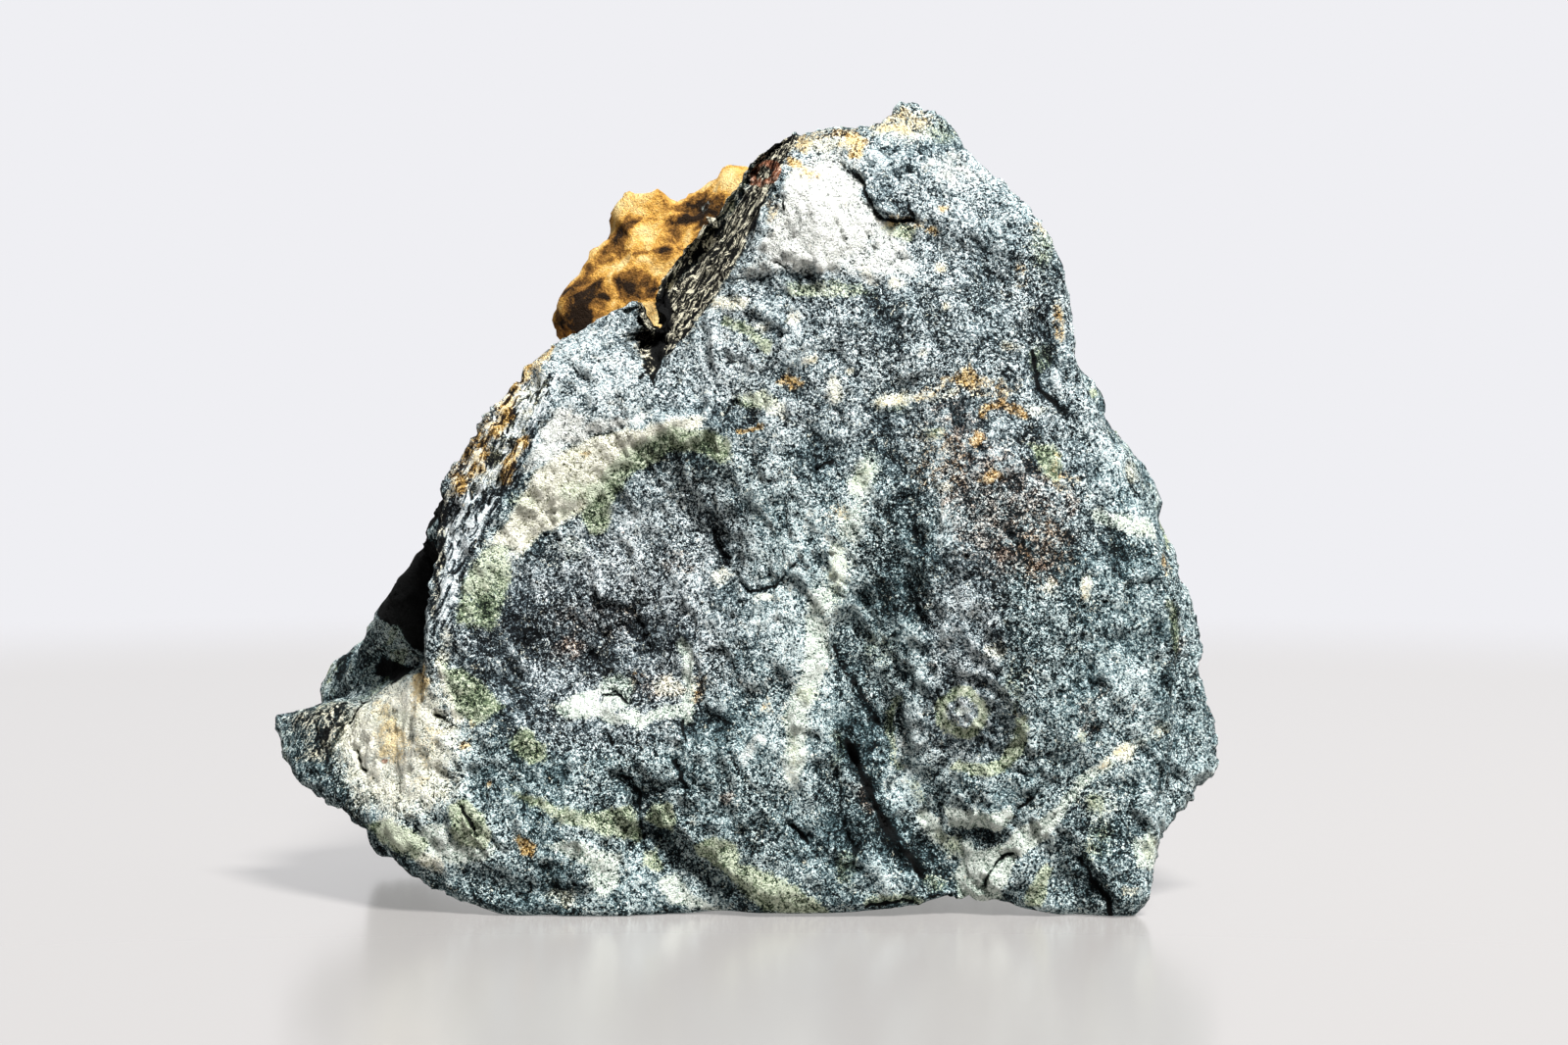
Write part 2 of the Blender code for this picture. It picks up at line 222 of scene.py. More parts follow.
# Pale green bands and veins.
MINT = (
    band(0.3, 3.4, (8.8, 47.5), (7.2, 41), (5.6, 36), (4, 31), (3.2, 26), (1.6, 20), (0.8, 14)),
    # The bright patch in the bowl and the vein beside it.
    area(1, 0.7, (-24.6, 21.5), (-22.6, 23), (-19.8, 23.4), (-19.5, 21.2), (-21, 20.7), (-23.5, 20.8)),
    area(1, 0.7, (-20.6, 21), (-18.5, 20), (-15.6, 19.9), (-14.7, 20.8), (-16, 21.7), (-18, 21.2),
        (-19.6, 21.8)),
    area(0.7, 0.9, (-19.4, 21.6), (-19.4, 24.4), (-17.6, 25.4), (-15.9, 24.2), (-16.1, 22),
        (-17.5, 21.4)), band(1, 1.3, (-15.2, 20.4), (-13.4, 21.2), (-11.4, 21.6)),
    band(0.9, 1.2, (-10.9, 28.6), (-10.3, 27), (-9.9, 24.5), (-10.2, 22.3), (-10.5, 20.6)),
    # The vein down the central ridge.
    area(1, 0.9, (2.4, 31.5), (4.4, 31), (4.4, 27.5), (4.1, 25.2), (3.6, 23.8), (2.6, 22), (2.1, 20.4),
        (2.4, 17.5), (1.9, 15.5), (1.2, 13.8), (0.2, 14.4), (0, 17), (0.4, 19.5), (0.1, 21.5),
        (1.2, 24), (2.2, 25.5), (2.3, 28)),
    # Along the foot, from the left.
    area(0.9, 0.9, (-38, 9.6), (-35.6, 9.6), (-35.2, 8), (-32.6, 6.9), (-30.6, 7.3), (-29, 8), (-31, 6),
        (-34, 5.2), (-37, 6), (-39, 7.4)),
    area(0.85, 0.8, (-25.6, 7.6), (-22, 8.3), (-19.5, 7.3), (-17, 6.6), (-17.2, 4), (-18.5, 2.2),
        (-20.3, 3), (-20.5, 5.5), (-23, 6.2)),
    area(0.8, 0.6, (-13.6, 3.7), (-11.5, 4.5), (-10, 2.9), (-8.3, 1.3), (-6, 0.2), (-10, 0.4),
        (-12.6, 1.5)),
    # The white arc under the large eye, and the band to the right.
    area(1, 0.6, (16.5, 11.7), (17.5, 9.5), (19, 9.1), (23, 9.3), (24.5, 10.8), (23.6, 11.9), (21, 11),
        (18.5, 11.4)), band(0.85, 1.9, (14.7, 10.4), (16.3, 8.2), (18, 7.1), (19.5, 6.7)),
    area(1, 0.6, (29.5, 12.3), (27.4, 11.2), (25, 9.3), (22.8, 7.8), (24, 6.5), (26.6, 7.3),
        (28.7, 9.7), (30, 11.4)), band(0.8, 1.3, (29.6, 12), (31, 14.2), (33.5, 15.8), (35.5, 17)),
    band(0.5, 1.4, (37, 18), (40.5, 19.8)),
    area(1, 0.7, (18.2, 1), (18.2, 4.5), (20, 7), (23, 7.6), (24.4, 6), (23.3, 3.6), (22.4, 1)),
    area(0.8, 0.7, (37, 5.4), (36.6, 8), (39, 9.2), (39.8, 6.5), (39, 4.8)),
    band(0.8, 1.9, (33.2, 42), (36, 41.3), (39.6, 40.3)), patches(0.85, (8.3, 46.2, 5, 3, 70)),
    patches(0.7, (3.9, 33.5, 3, 4), (5.6, 37, 2.2, 5)), patches(0.65, (6.8, 41.5, 3, 4)),
    patches(0.6, (18.7, 21.7, 1.6, 1.6)), patches(0.4, (-22.5, 38.5, 4, 3), (33, 12, 5, 5)),
)

# Olive bands, and the rings of the eyes.
OLIVE = (
    # Under the cream arc and down the left ridge.
    band(1, 2.8, (-20, 41.5), (-19.2, 44.5), (-17, 47.2), (-14.4, 49), (-11.6, 50.2), (-8, 49.8),
        (-6.6, 48.8)),
    area(0.8, 1.2, (-35, 30.3), (-34.2, 35), (-31.6, 39), (-29.4, 38.5), (-28.8, 35.5), (-30, 32),
        (-31, 29.8)),
    area(0.95, 1, (-36.4, 26.6), (-34, 25.6), (-31, 23.6), (-29.3, 21.6), (-31.5, 20.3), (-33, 19.6),
        (-34.6, 21.4), (-35.7, 23.5)),
    # The left eye.
    area(1, 0.6, (-35.4, 11.6), (-33.5, 12.5), (-32, 11), (-30.5, 9), (-31, 7.1), (-33, 6.9),
        (-35.1, 8)),
    area(0.9, 0.8, (-45, 8.9), (-42, 9.7), (-39.8, 9.1), (-37.3, 7.6), (-38.5, 5.7), (-41, 6)),
    area(1, 0.8, (-29.2, 18), (-27.5, 20), (-25.3, 18), (-25.1, 16.3), (-27, 15.8)),
    # The green bands along the foot.
    area(0.95, 0.9, (-29.2, 13.3), (-25, 12.2), (-20, 11), (-16.5, 11.7), (-15.1, 9.8), (-15.3, 7.7),
        (-17, 8), (-19.5, 9), (-23, 9.9), (-27, 11.4)),
    area(1, 0.5, (-14.8, 10), (-13.8, 12), (-12, 12.2), (-11.3, 10.5), (-11.7, 8.6)),
    area(1, 0.6, (-9.7, 7.6), (-7.6, 8.8), (-5.2, 7.9), (-4.4, 5.3), (-6.3, 4.4), (-8.4, 5.9)),
    area(1, 0.8, (-6.2, 4.4), (-4, 5.7), (-1.5, 4.9), (0.6, 3.7), (3.9, 1.7), (4.8, 0.4), (0.8, 0.4),
        (-2, 0.6), (-4, 2)),
    area(0.8, 0.7, (-15, 6.8), (-13.6, 7.2), (-12.4, 5.4), (-13.4, 4.2), (-15.4, 4.8)),
    # The large eye.
    ring(1, 18.7, 21.7, 2.2, 1.3), ring(1, 20.3, 20.1, 4.6, 1.5, 235, 375),
    ring(0.7, 18.8, 19.5, 7.6, 1, 150, 215),
    area(0.9, 0.7, (25.4, 1), (25.7, 3.5), (27.5, 5.7), (28.5, 5.2), (27.7, 2.5), (27.2, 1)),
    area(0.85, 0.8, (25.8, 49.6), (28.5, 49.7), (29.5, 47.5), (28.9, 45.6), (27.2, 46.2)),
    area(0.8, 0.6, (10.2, 72.6), (12, 73.4), (14.4, 72.4), (13.6, 71), (11.8, 71.3)),
    area(0.65, 0.7, (0, 66.9), (8, 66.7), (9.6, 65.3), (5, 65), (0.5, 65.4)),
    band(0.8, 1.4, (-6, 62.5), (-3.5, 61.3), (-1.8, 60)),
    band(0.7, 1.1, (8.4, 1.3), (11, 2.3), (14.2, 1.4)), band(0.7, 1.2, (40.5, 33), (42.2, 27)),
    patches(0.8, (32.8, 12.2, 2.6, 2.2)),
    patches(0.7, (2.4, 23.6, 2.8, 2.4), (17.2, 7.8, 4, 1.8, -38), (38.3, 7.2, 2, 3), (15.8, 51, 2.6, 1.5),
        (-3, 54.2, 5, 2)),
    patches(0.6, (-22, 44.5, 5, 3), (8.2, 46.2, 4, 2.6, 70), (31.3, 19.3, 1.8, 1.6), (17, 83, 5, 3)),
    patches(0.5, (-27.6, 43.4, 4, 2.4), (-23.6, 42, 4, 1.6), (1, 17.5, 1.8, 5), (37, 41, 6, 1.6, -14),
        (27.5, 70.5, 3, 6), (27, 58.5, 3, 4), (16, 3, 3, 2), (6.5, 5, 3, 5), (5.6, 36, 3, 8),
        (-42, 20, 6, 3), (14, 13.2, 1.5, 4, 30)),
    patches(0.4, (12, 54, 5, 2), (24, 24, 3, 5), (33, 8, 4, 5), (5.5, 18, 2, 5), (10, 28, 4, 4)),
)

# Ochre stains.
OCHRE = (
    # The left ridge.
    area(1, 0.9, (-31.4, 50.4), (-29.8, 54), (-28.7, 53), (-29.7, 51), (-30.6, 49.6)),
    area(0.6, 1.5, (-36.5, 44), (-33.6, 51), (-27, 59.5), (-26, 58), (-30.6, 51), (-34, 43)),
    band(0.85, 1.1, (-30, 45.3), (-28.6, 48.5), (-27.7, 50)),
    band(0.8, 1.4, (-31, 54.5), (-28, 57.2), (-25.3, 59.5)), band(0.9, 0.9, (-4.5, 51), (-2.4, 51.7)),
    area(1, 0.6, (-28.1, 8.6), (-27, 9.2), (-26.1, 7), (-26.7, 5.7), (-27.7, 6.2)),
    area(0.8, 0.5, (-1.1, 56.3), (0, 57), (2.3, 56.2), (1.8, 55.4), (0.5, 55.5)),
    area(0.9, 0.7, (17.7, 56), (18.3, 57.7), (20, 58.1), (20.3, 56), (19, 55.4)),
    band(0.6, 1.1, (14.5, 54.8), (16, 56), (17.5, 56.4)),
    band(0.85, 1.1, (21.2, 52.8), (23, 53.9), (24.6, 53)),
    area(0.9, 0.8, (6.1, 81.5), (7.5, 83), (9.1, 82.4), (8.2, 80.2), (7, 80)),
    band(0.6, 1, (29.2, 64), (29.4, 61)), band(0.5, 0.8, (33, 15.6), (35, 17)),
    band(0.5, 1.2, (0.5, 82), (4, 82.6), (8, 83)), patches(1, (-38.8, 24.3, 2.6, 4.6)),
    patches(0.9, (-21, 48.4, 1.4, 1), (21.6, 46.3, 2.2, 1.7)), patches(0.85, (20.2, 50.3, 1.7, 3)),
    patches(0.8, (-33.7, 17.8, 1.3, 1.2), (-31, 13.8, 0.9, 0.8), (1.1, 79.6, 1.8, 1.7)),
    patches(0.75, (-42, 17.8, 5, 5), (16.8, 74.3, 1.8, 1), (35.3, 17.3, 1.8, 1.5)),
    patches(0.7, (-34.5, 45.3, 2.6, 1.8), (-32.3, 47.5, 3.4, 1.6, 60), (2, 81.6, 2.6, 1.5)),
    patches(0.6, (-33, 20, 1.4, 0.9), (15.9, 72.3, 2, 0.9), (11.4, 73, 2, 1), (27.4, 72.4, 1.6, 2),
        (16.6, 68.1, 1.2, 1), (17, 64.2, 1.2, 0.9)), patches(0.55, (-43, 20.7, 4.5, 2), (21, 55.5, 8, 3)),
    patches(0.5, (28.5, 47.8, 1.4, 2.6), (11.5, 54.4, 4, 1.4), (-37, 19.3, 1.2, 1),
        (-39.4, 21.2, 1.2, 1.4), (-34.6, 2.8, 1.2, 1), (3, 78.2, 1.6, 2), (-6, 64.4, 3, 1),
        (13, 84.5, 8, 4), (-9, 23.6, 2.4, 4), (2.7, 58.7, 1.6, 0.9), (7, 57.4, 1.2, 0.9),
        (23.6, 59.8, 1.6, 1), (42, 36, 1.6, 4), (12.5, 84.5, 7, 4), (12.5, 73, 6, 2)),
    patches(0.45, (-38, 17.5, 2.6, 5), (-38.5, 14, 3.4, 2), (29.5, 45.5, 3, 3)),
    patches(0.4, (40, 19.3, 2, 1.4), (-1.8, 22.2, 2, 2), (-15, 24.8, 3, 1.4), (6, 42.5, 3, 2),
        (31.7, 35, 1.2, 3), (36.3, 3, 2, 0.9), (-7.5, 64.5, 2, 1.2), (3, 78.6, 8, 3), (25, 67.5, 2, 3)),
    patches(0.35, (16, 48, 8, 8), (-1, 74, 2, 6)), patches(0.3, (26.5, 39, 8, 10)),
)

# Rusty specks.
RUST = (
    # The rusty cloud on the right lobe.
    area(0.55, 4, (14, 48), (20, 51), (28, 47), (31.5, 40), (28, 34), (22, 35), (17, 40)),
    area(0.6, 0.8, (-25.6, 27), (-24, 29.2), (-22, 29.2), (-20.8, 27.5), (-23, 26)),
    patches(1, (27, 37.4, 1.6, 1.4), (-42.7, 15.6, 1.1, 0.6)), patches(0.9, (15.5, 26.6, 0.8, 0.8)),
    patches(0.8, (17, 44.2, 1.2, 1), (22.8, 38, 2.4, 2)),
    patches(0.7, (30, 44, 2, 3), (-6.2, 12.9, 1.8, 1.2), (36.7, 22, 0.8, 0.8), (38.3, 22.2, 0.7, 0.7)),
    patches(0.6, (8.6, 12.5, 2, 6, 35)),
    patches(0.5, (18, 52, 7, 6), (31.8, 21, 3, 5, 20), (9, 23, 1.4, 3, 30), (-13, 24, 7, 3),
        (23.5, 53.5, 4, 2)),
    patches(0.4, (-3, 24, 6, 3), (-20, 31, 12, 4), (33.5, 24, 3, 3), (43, 28, 3, 6), (-11, 37, 5, 4)),
)

# Where the dark stone is less green.
PLUM = (
    # The upper half, faintly, and the left ridge.
    area(0.65, 14, (-40, 44), (-30, 60), (-5, 84), (20, 84), (34, 62), (32, 40), (10, 46), (-15, 50)),
    area(1, 1.5, *LEFT_RIDGE), patches(1, (-21, 30, 36, 22)), patches(0.8, (19, 31, 9, 22)),
    patches(0.7, (-13, 40, 22, 14)), patches(0.6, (19, 21, 12, 10), (-20, 21, 24, 8)),
)

# Darker stone, and painted shade where the break faces away from the light, in its hollows and under its
# ledges.
DARK_AND_SHADE = (
    # Painted shade on the wall right of the central ridge, which faces away from the light, and the darker
    # lobe.
    area(0.9, 1.8, (9.6, 44.8), (13, 45.2), (15.6, 41), (15.6, 34), (14, 31.4), (10, 32), (9.6, 38)),
    area(0.35, 6, (2, 51), (12, 52), (18, 50), (25, 49), (33, 45), (35, 33), (27, 27), (17, 31), (9, 42)),
    area(0.12, 4, (21, 48), (31, 47), (33, 36), (26, 29), (20, 33)),
    # Painted shade in the bowl, behind the spur and under the cream arc, among darker stone.
    area(0.45, 5, (-37, 42), (-34, 37), (-28, 33), (-22, 31), (-13, 33), (-9, 28), (-13, 19), (-22, 17),
        (-30, 14), (-36, 21)),
    area(0.9, 1.5, (-50, 23.4), (-48, 28.5), (-45, 31), (-43.8, 29), (-44, 26), (-44.5, 23.2)),
    area(0.3, 2.5, (37.5, 38), (42, 36), (44, 24), (40, 21)),
    area(0.5, 2, (2.5, 18), (5.5, 21), (8, 14), (9.5, 7), (6, 6), (3, 11)),
    area(0.6, 1.5, (-29, 40), (-26, 40.4), (-24.6, 38), (-28, 36.3)),
    area(0.5, 2.5, (-30, 33.5), (-20, 34), (-10, 33), (-9, 30), (-16, 27), (-22, 26), (-29, 29.5)),
    band(0.6, 1.5, (-18.6, 43.6), (-16.6, 46.4), (-13.6, 48), (-10.6, 48.3), (-7.6, 47)),
    area(0.5, 1, (-27, 29.5), (-20, 29), (-21, 26), (-26, 26)),
    area(0.7, 0.9, (-10.5, 19), (-10, 21.4), (-7, 22.2), (-4.7, 20.8), (-6, 19)),
    # Painted shade under the overhang and in the valley; then the eye's dark rings, darker under the white
    # arc, and darker stone.
    area(0.95, 0.6, (-14.2, 7.4), (-10, 5.9), (-6.5, 3.5), (-3, 1.5), (-0.4, 0.4), (-3, 0), (-6, 1.5),
        (-10, 4.3), (-13.6, 5.8)),
    area(0.75, 0.9, (6.8, 16), (8.6, 15.6), (11.8, 9.5), (14, 5.5), (12.5, 4.5), (9.8, 9.5), (7.8, 11)),
    ring(0.6, 18.8, 21.5, 3.6, 1.2),
    area(0.75, 0.8, (16.8, 9.2), (19, 7.3), (22.6, 7.4), (23.8, 9.2), (20, 9)),
    area(0.45, 1.5, (15, 14.5), (24.5, 14), (24.5, 12), (16, 12.4)),
    area(0.5, 1.5, (14.5, 25), (17, 24), (16.5, 18), (14, 19)), ring(1, -4.8, 52.8, 1.1, 0.6),
    # Painted shade on the underside of the spur, and darker along the foot.
    area(0.8, 0.8, (-52, 15), (-50, 15.6), (-45, 9.6), (-41, 5.5), (-36, 1.6), (-38, 0.6), (-44, 5.6),
        (-50, 12)), area(0.5, 2, (-40, 4.9), (-30, 4.9), (-21, 4), (-22, 0.6), (-34, 0.8)),
    # The upper right rim and the right edge.
    area(0.7, 1.2, (25, 69.5), (29, 69), (29.6, 62), (28.5, 57.5), (26, 60), (25.4, 65)),
    area(0.4, 1, (9.6, 78.6), (14, 79.2), (15.6, 75.4), (10.4, 74.2)),
    area(0.5, 2, (29, 10.5), (36, 10.5), (38, 3), (34, 1), (28, 2)),
    band(0.65, 1.4, (27, 55.2), (30.5, 52.6)), band(0.5, 2.6, (41.6, 33), (42, 25)),
    # Painted shade under the bottom flake.
    area(0.8, 0.4, (8.7, 0.2), (9.5, 1.4), (12.5, 1.5), (14.1, 0.5)),
    area(0.5, 1, (-17, 16), (-11, 18), (-11, 14), (-15, 12)),
    # The last patch on the next line is painted shade in the bowl.
    area(0.4, 2, (-28, 16), (-22, 20), (-19, 15), (-24, 13)), patches(0.85, (-21, 42.8, 1.8, 3.8, 10)),
    patches(0.8, (9.4, 84.4, 2, 1.4, 30)), patches(0.7, (26.5, 57, 2, 4.5, 20)),
    patches(0.65, (36.5, 37.5, 6, 4.4)), patches(0.6, (24.3, 24, 2.6, 8, -15)),
    patches(0.5, (-17, 24, 7, 5), (-3.3, 9, 3.4, 6), (12, 51.5, 4, 4), (25, 51, 5, 3), (33, 20, 3, 4),
        (-0.5, 74, 2, 2), (-45.5, 21.4, 3, 1.2, -20)), patches(0.45, (20, 64, 6, 4), (28.5, 17, 5, 5)),
    patches(0.4, (24, 61, 8, 5), (-4, 29, 5, 9), (30, 11, 5, 6), (-3, 17, 4, 6), (13, 61.5, 15, 8),
        (40, 13, 3, 8, -20), (6.5, 8, 4, 9), (24, 29.5, 7, 3)),
    # The second patch on the next line is painted shadow beside the bowl crack.
    patches(0.25, (20.5, 70.5, 10, 7), (-5, 37.4, 6, 2.4, -20)),
)

# Black skin with pale strings, on the flank, the tip of the spur and the left ridge. The black is
# partly painted shade, on the flank and the ridge's far left side, which face away from the light.
STRINGS_AND_SHADE = (
    area(1, 0.7, *FLANK), area(0.6, 1.2, *SPUR_TIP),
    area(0.6, 1, (-37.8, 31), (-36.8, 44), (-35.5, 46), (-35.6, 41), (-36.2, 36), (-36.6, 31)),
)

# The left ridge, drawn out into threads.
FIBRES = (
    area(0.85, 1.5, *LEFT_RIDGE),
    area(0.6, 1, (-33, 41), (-31.4, 47), (-28.6, 53.5), (-27.2, 53), (-29.4, 47.5), (-31, 41)),
)

# Red-brown iron: the ring on the flank, and two specks.
IRON = (
    ring(1, -2, 78.6, 1.25, 0.8), patches(1, (-42.7, 15.6, 1, 0.6)),
    patches(0.6, (-17, 40, 0.9, 0.7)),
)

# Painted shade on the ochre rock behind: darker brown along its left side, which faces away from the
# light, and where the shoulder and the upper block meet it.
OCHRE_ROCK_SHADE = (
    area(1, 1, (-28, 58), (-25.5, 66), (-20.5, 72), (-17.8, 76), (-16.8, 74), (-19.4, 70), (-22, 65),
        (-22.6, 58)), band(0.7, 1, (-19, 70.2), (-15, 70.8), (-11, 71)),
    band(0.6, 0.8, (-17, 74.8), (-13, 74), (-9, 74.6)),
    patches(1, (-17.5, 66.5, 8, 4.5), (-9.4, 72, 2.4, 6, -25)), patches(0.8, (-9, 75.5, 7, 5)),
    patches(0.5, (-20, 69.4, 4, 2.4, 40), (-11, 68, 3, 5)),
)

MARKS = {
    "dust": DUST, "cream": CREAM, "mint": MINT, "olive": OLIVE, "ochre": OCHRE, "rust": RUST,
    "plum": PLUM, "dark_and_shade": DARK_AND_SHADE, "strings_and_shade": STRINGS_AND_SHADE, "fibres": FIBRES, "iron": IRON, "ochre_rock_shade": OCHRE_ROCK_SHADE,
}

# Kinds whose marks keep close to their lines. The others wander.
CLEAN_EDGED = ("cream", "mint", "olive", "strings_and_shade", "iron", "ochre_rock_shade")

# Cracks, steps and grooves of the break, in millimetres: how deep, how wide on the left and right of
# the line, how black the shade painted in them is, and the line's points.
CUTS = {
    "valley_crack": (1.5, 1.6, 0.5, 1, ((5, 28.3), (6.9, 25.4), (8.5, 23), (10.2, 20.2))),
    "valley": (1.8, 2.6, 1, 0.9, ((6.6, 18.5), (8, 15.5), (9, 13), (10.2, 10.5), (12.5, 7), (14.5, 4))),
    "chip_step": (1.3, 0.4, 1.8, 1, (
        (7.4, 78.5), (8.7, 77), (9.3, 75.5), (9.9, 73.7), (12, 73.1), (14, 73.5),
    )),
    "chip_tooth": (0.8, 0.4, 1.2, 0.8, ((13.2, 75.2), (14, 73.8))),
    "upper_groove": (0.4, 0.35, 0.55, 0.6, ((-6.6, 67), (-3, 67.2), (0, 67.3), (5.2, 67.5))),
    "slant_groove": (0.25, 0.3, 0.5, 0.5, ((-7.2, 62.8), (-5, 61.7), (-2, 60.3))),
    "bowl_crack": (0.5, 0.4, 0.2, 1, ((-8.3, 41.8), (-7.5, 40.2), (-6.8, 38.5), (-5.8, 37.4))),
    "smile_crack": (0.45, 0.5, 0.22, 1, ((-4, 34.3), (-2.6, 34.2), (-1, 34.9), (0.2, 36.1), (1.3, 37.2))),
    "short_crack": (0.5, 0.6, 0.3, 0.9, ((3.4, 47.1), (5.2, 47.8))),
    "step_by_notch": (1.2, 0.35, 1.6, 1, (
        (-17.3, 14.8), (-16, 14.3), (-15.3, 13), (-15.2, 10.5), (-14.8, 8.4),
    )),
    "arch_crack": (0.5, 0.3, 0.3, 0.9, ((-19.3, 21.1), (-19.2, 23), (-17.5, 23.3), (-16.4, 22.3))),
    "thin_crack": (0.4, 0.25, 0.3, 0.9, ((-18.8, 19.1), (-17.2, 17.1))),
    "vein_slot": (0.6, 0.4, 0.5, 0.9, ((-10.9, 20.6), (-10.3, 18.5))),
    "left_eye_slit": (0.8, 0.4, 0.4, 0.9, ((-34.1, 11.6), (-33.2, 10), (-32.2, 8.5))),
    "spur_slit": (0.5, 0.3, 0.4, 0.9, ((-46.2, 16.3), (-44.9, 14.4))),
    "foot_crack": (1.3, 0.5, 1.2, 1, ((31.2, 6.4), (32.6, 4.2), (33.9, 2), (34.6, 0))),
    "pale_blob_crack": (0.7, 0.4, 0.3, 0.9, ((24, 6.8), (22.4, 6), (21.8, 4.5), (21.2, 3.2))),
    "flake_top": (0.8, 0.3, 0.7, 0.9, ((8.3, 0.8), (10.5, 1.7), (12.5, 1.7), (14.4, 0.9))),
    "flake_line": (0.6, 0.3, 0.4, 0.9, ((15.4, 2), (18, 1.8))),
    "ridge_crack_a": (1.1, 0.7, 0.5, 0.5, ((-31.4, 43), (-30.2, 47), (-28.9, 50), (-27.7, 53), (-27, 56))),
    "ridge_crack_b": (0.9, 0.6, 0.5, 0.5, ((-35.6, 37), (-35.9, 41), (-34.6, 46.5), (-32.8, 51))),
    "ridge_crack_c": (0.8, 0.6, 0.4, 0.5, ((-34.2, 33), (-34.4, 38), (-33.4, 43), (-32.3, 47))),
    "ridge_crack_d": (0.7, 0.5, 0.4, 0.5, ((-29.2, 44.5), (-27.6, 49), (-24.8, 52.6), (-23.6, 54.4))),
    "arc_crease": (0.5, 0.5, 0.4, 0.5, ((-21.5, 50.2), (-19, 50.7), (-16.8, 51.2))),
    "flank_split_a": (0.6, 0.4, 0.4, 1, ((-13.6, 59.5), (-14.4, 57.5), (-15.2, 56.3))),
    "flank_split_b": (0.5, 0.4, 0.4, 1, ((-13.2, 59), (-13.7, 57), (-13.8, 56))),
    "small_gully_a": (0.6, 0.5, 0.5, 0.8, ((1, 9.8), (2.5, 8), (3.8, 6.3))),
    "small_gully_b": (0.5, 0.5, 0.5, 0.5, ((5.5, 17), (6, 12), (7.2, 8), (7.6, 3))),
    "small_gully_c": (0.5, 0.5, 0.5, 0.6, ((3.6, 21.8), (3, 17), (4, 13))),
    "small_gully_d": (0.5, 0.5, 0.5, 0.7, ((-11.4, 16.8), (-10.4, 13), (-10.2, 9.8))),
    "small_gully_e": (0.5, 0.4, 0.5, 0.8, ((26, 12.5), (24.8, 11.6), (24.2, 10.4))),
    "right_rim_crease": (0.6, 0.5, 0.5, 0.8, ((26.3, 59.5), (26.8, 56), (29, 53.6), (30.6, 52.4))),
    "spur_fold_a": (0.6, 0.5, 0.5, 0.9, ((-48.8, 21.5), (-49.3, 19), (-50, 17), (-49.6, 14.8))),
    "spur_fold_b": (0.5, 0.4, 0.4, 0.9, ((-45.9, 22), (-46.4, 20.3), (-47.3, 18.6))),
    "spur_fold_c": (0.5, 0.4, 0.4, 0.8, ((-51.6, 21.3), (-51.8, 18.5), (-51, 16.3))),
    "ridge_foot": (0.7, 0.6, 0.6, 0.8, ((-37, 20.8), (-35.2, 20.4), (-33.8, 19.4))),
    "dust_scratch_a": (0.3, 0.3, 0.3, 0.8, ((-0.3, 76), (0.2, 74.6))),
    "dust_scratch_b": (0.3, 0.3, 0.3, 0.7, ((-1.2, 68.8), (0.2, 68))),
    "upper_scratch": (0.3, 0.3, 0.3, 0.8, ((5, 73), (6.4, 71.4))),
}

# Broad shapes of the break: how deep (+) or proud (-), x, z, width, height and turn.
SWELLS = {
    "pit_by_dust": (0.9, 0.4, 72, 2.4, 2.2, 0),
    "overhang": (2.2, -12.7, 8.1, 5.5, 2.4, -26),
    "below_overhang": (0.9, -9, 5.2, 12, 2.4, -28),
    "left_eye": (-0.6, -33.3, 10.2, 5, 5.5, 20),
    "spur_bulge": (-0.7, -42.5, 18, 9, 8, 0),
    "dust_bulge": (-1, 3, 75, 12, 11, 0),
    "orb": (-0.5, 18.8, 21.3, 5, 5, 0),
    "pale_blob": (-0.7, 21.3, 3.6, 5, 6, 0),
    "cream_arc": (-0.8, -24, 46, 10, 7, 35),
    "arc_end": (-0.5, -12, 51.3, 12, 3, 5),
    "bright_patch": (-0.6, -18, 22, 9, 4, 0),
    "hollow_over_smile": (0.3, -4.8, 37.4, 3, 1.6, -20),
    "hollow_right_of_lens": (0.5, -10.3, 31.6, 2.4, 1.4, -20),
    "below_bright_patch": (0.5, -8, 20, 6, 4, 0),
    "lower_left_step": (0.8, -30, 3, 20, 4, -6),
    "dark_wall": (0.9, 12.3, 38, 5, 14, 0),
    "centre_ridge": (-0.6, 2, 21, 5, 18, 3),
    "green_ridge": (-0.5, -3, 3.6, 9, 3, -28),
    "right_gully": (0.7, 29.5, 15.5, 6, 5, 30),
    "white_arc": (-0.4, 20.4, 10.5, 8, 2.6, 0),
    "under_white_arc": (0.6, 20.4, 8.2, 7, 1.8, 0),
    "foot_dip": (0.6, 29, 3.4, 5, 5, 0),
    "upper_right_dip": (0.7, 20, 66, 9, 7, 0),
    "chip_floor": (0.6, 12.6, 76.6, 5, 4, 0),
}

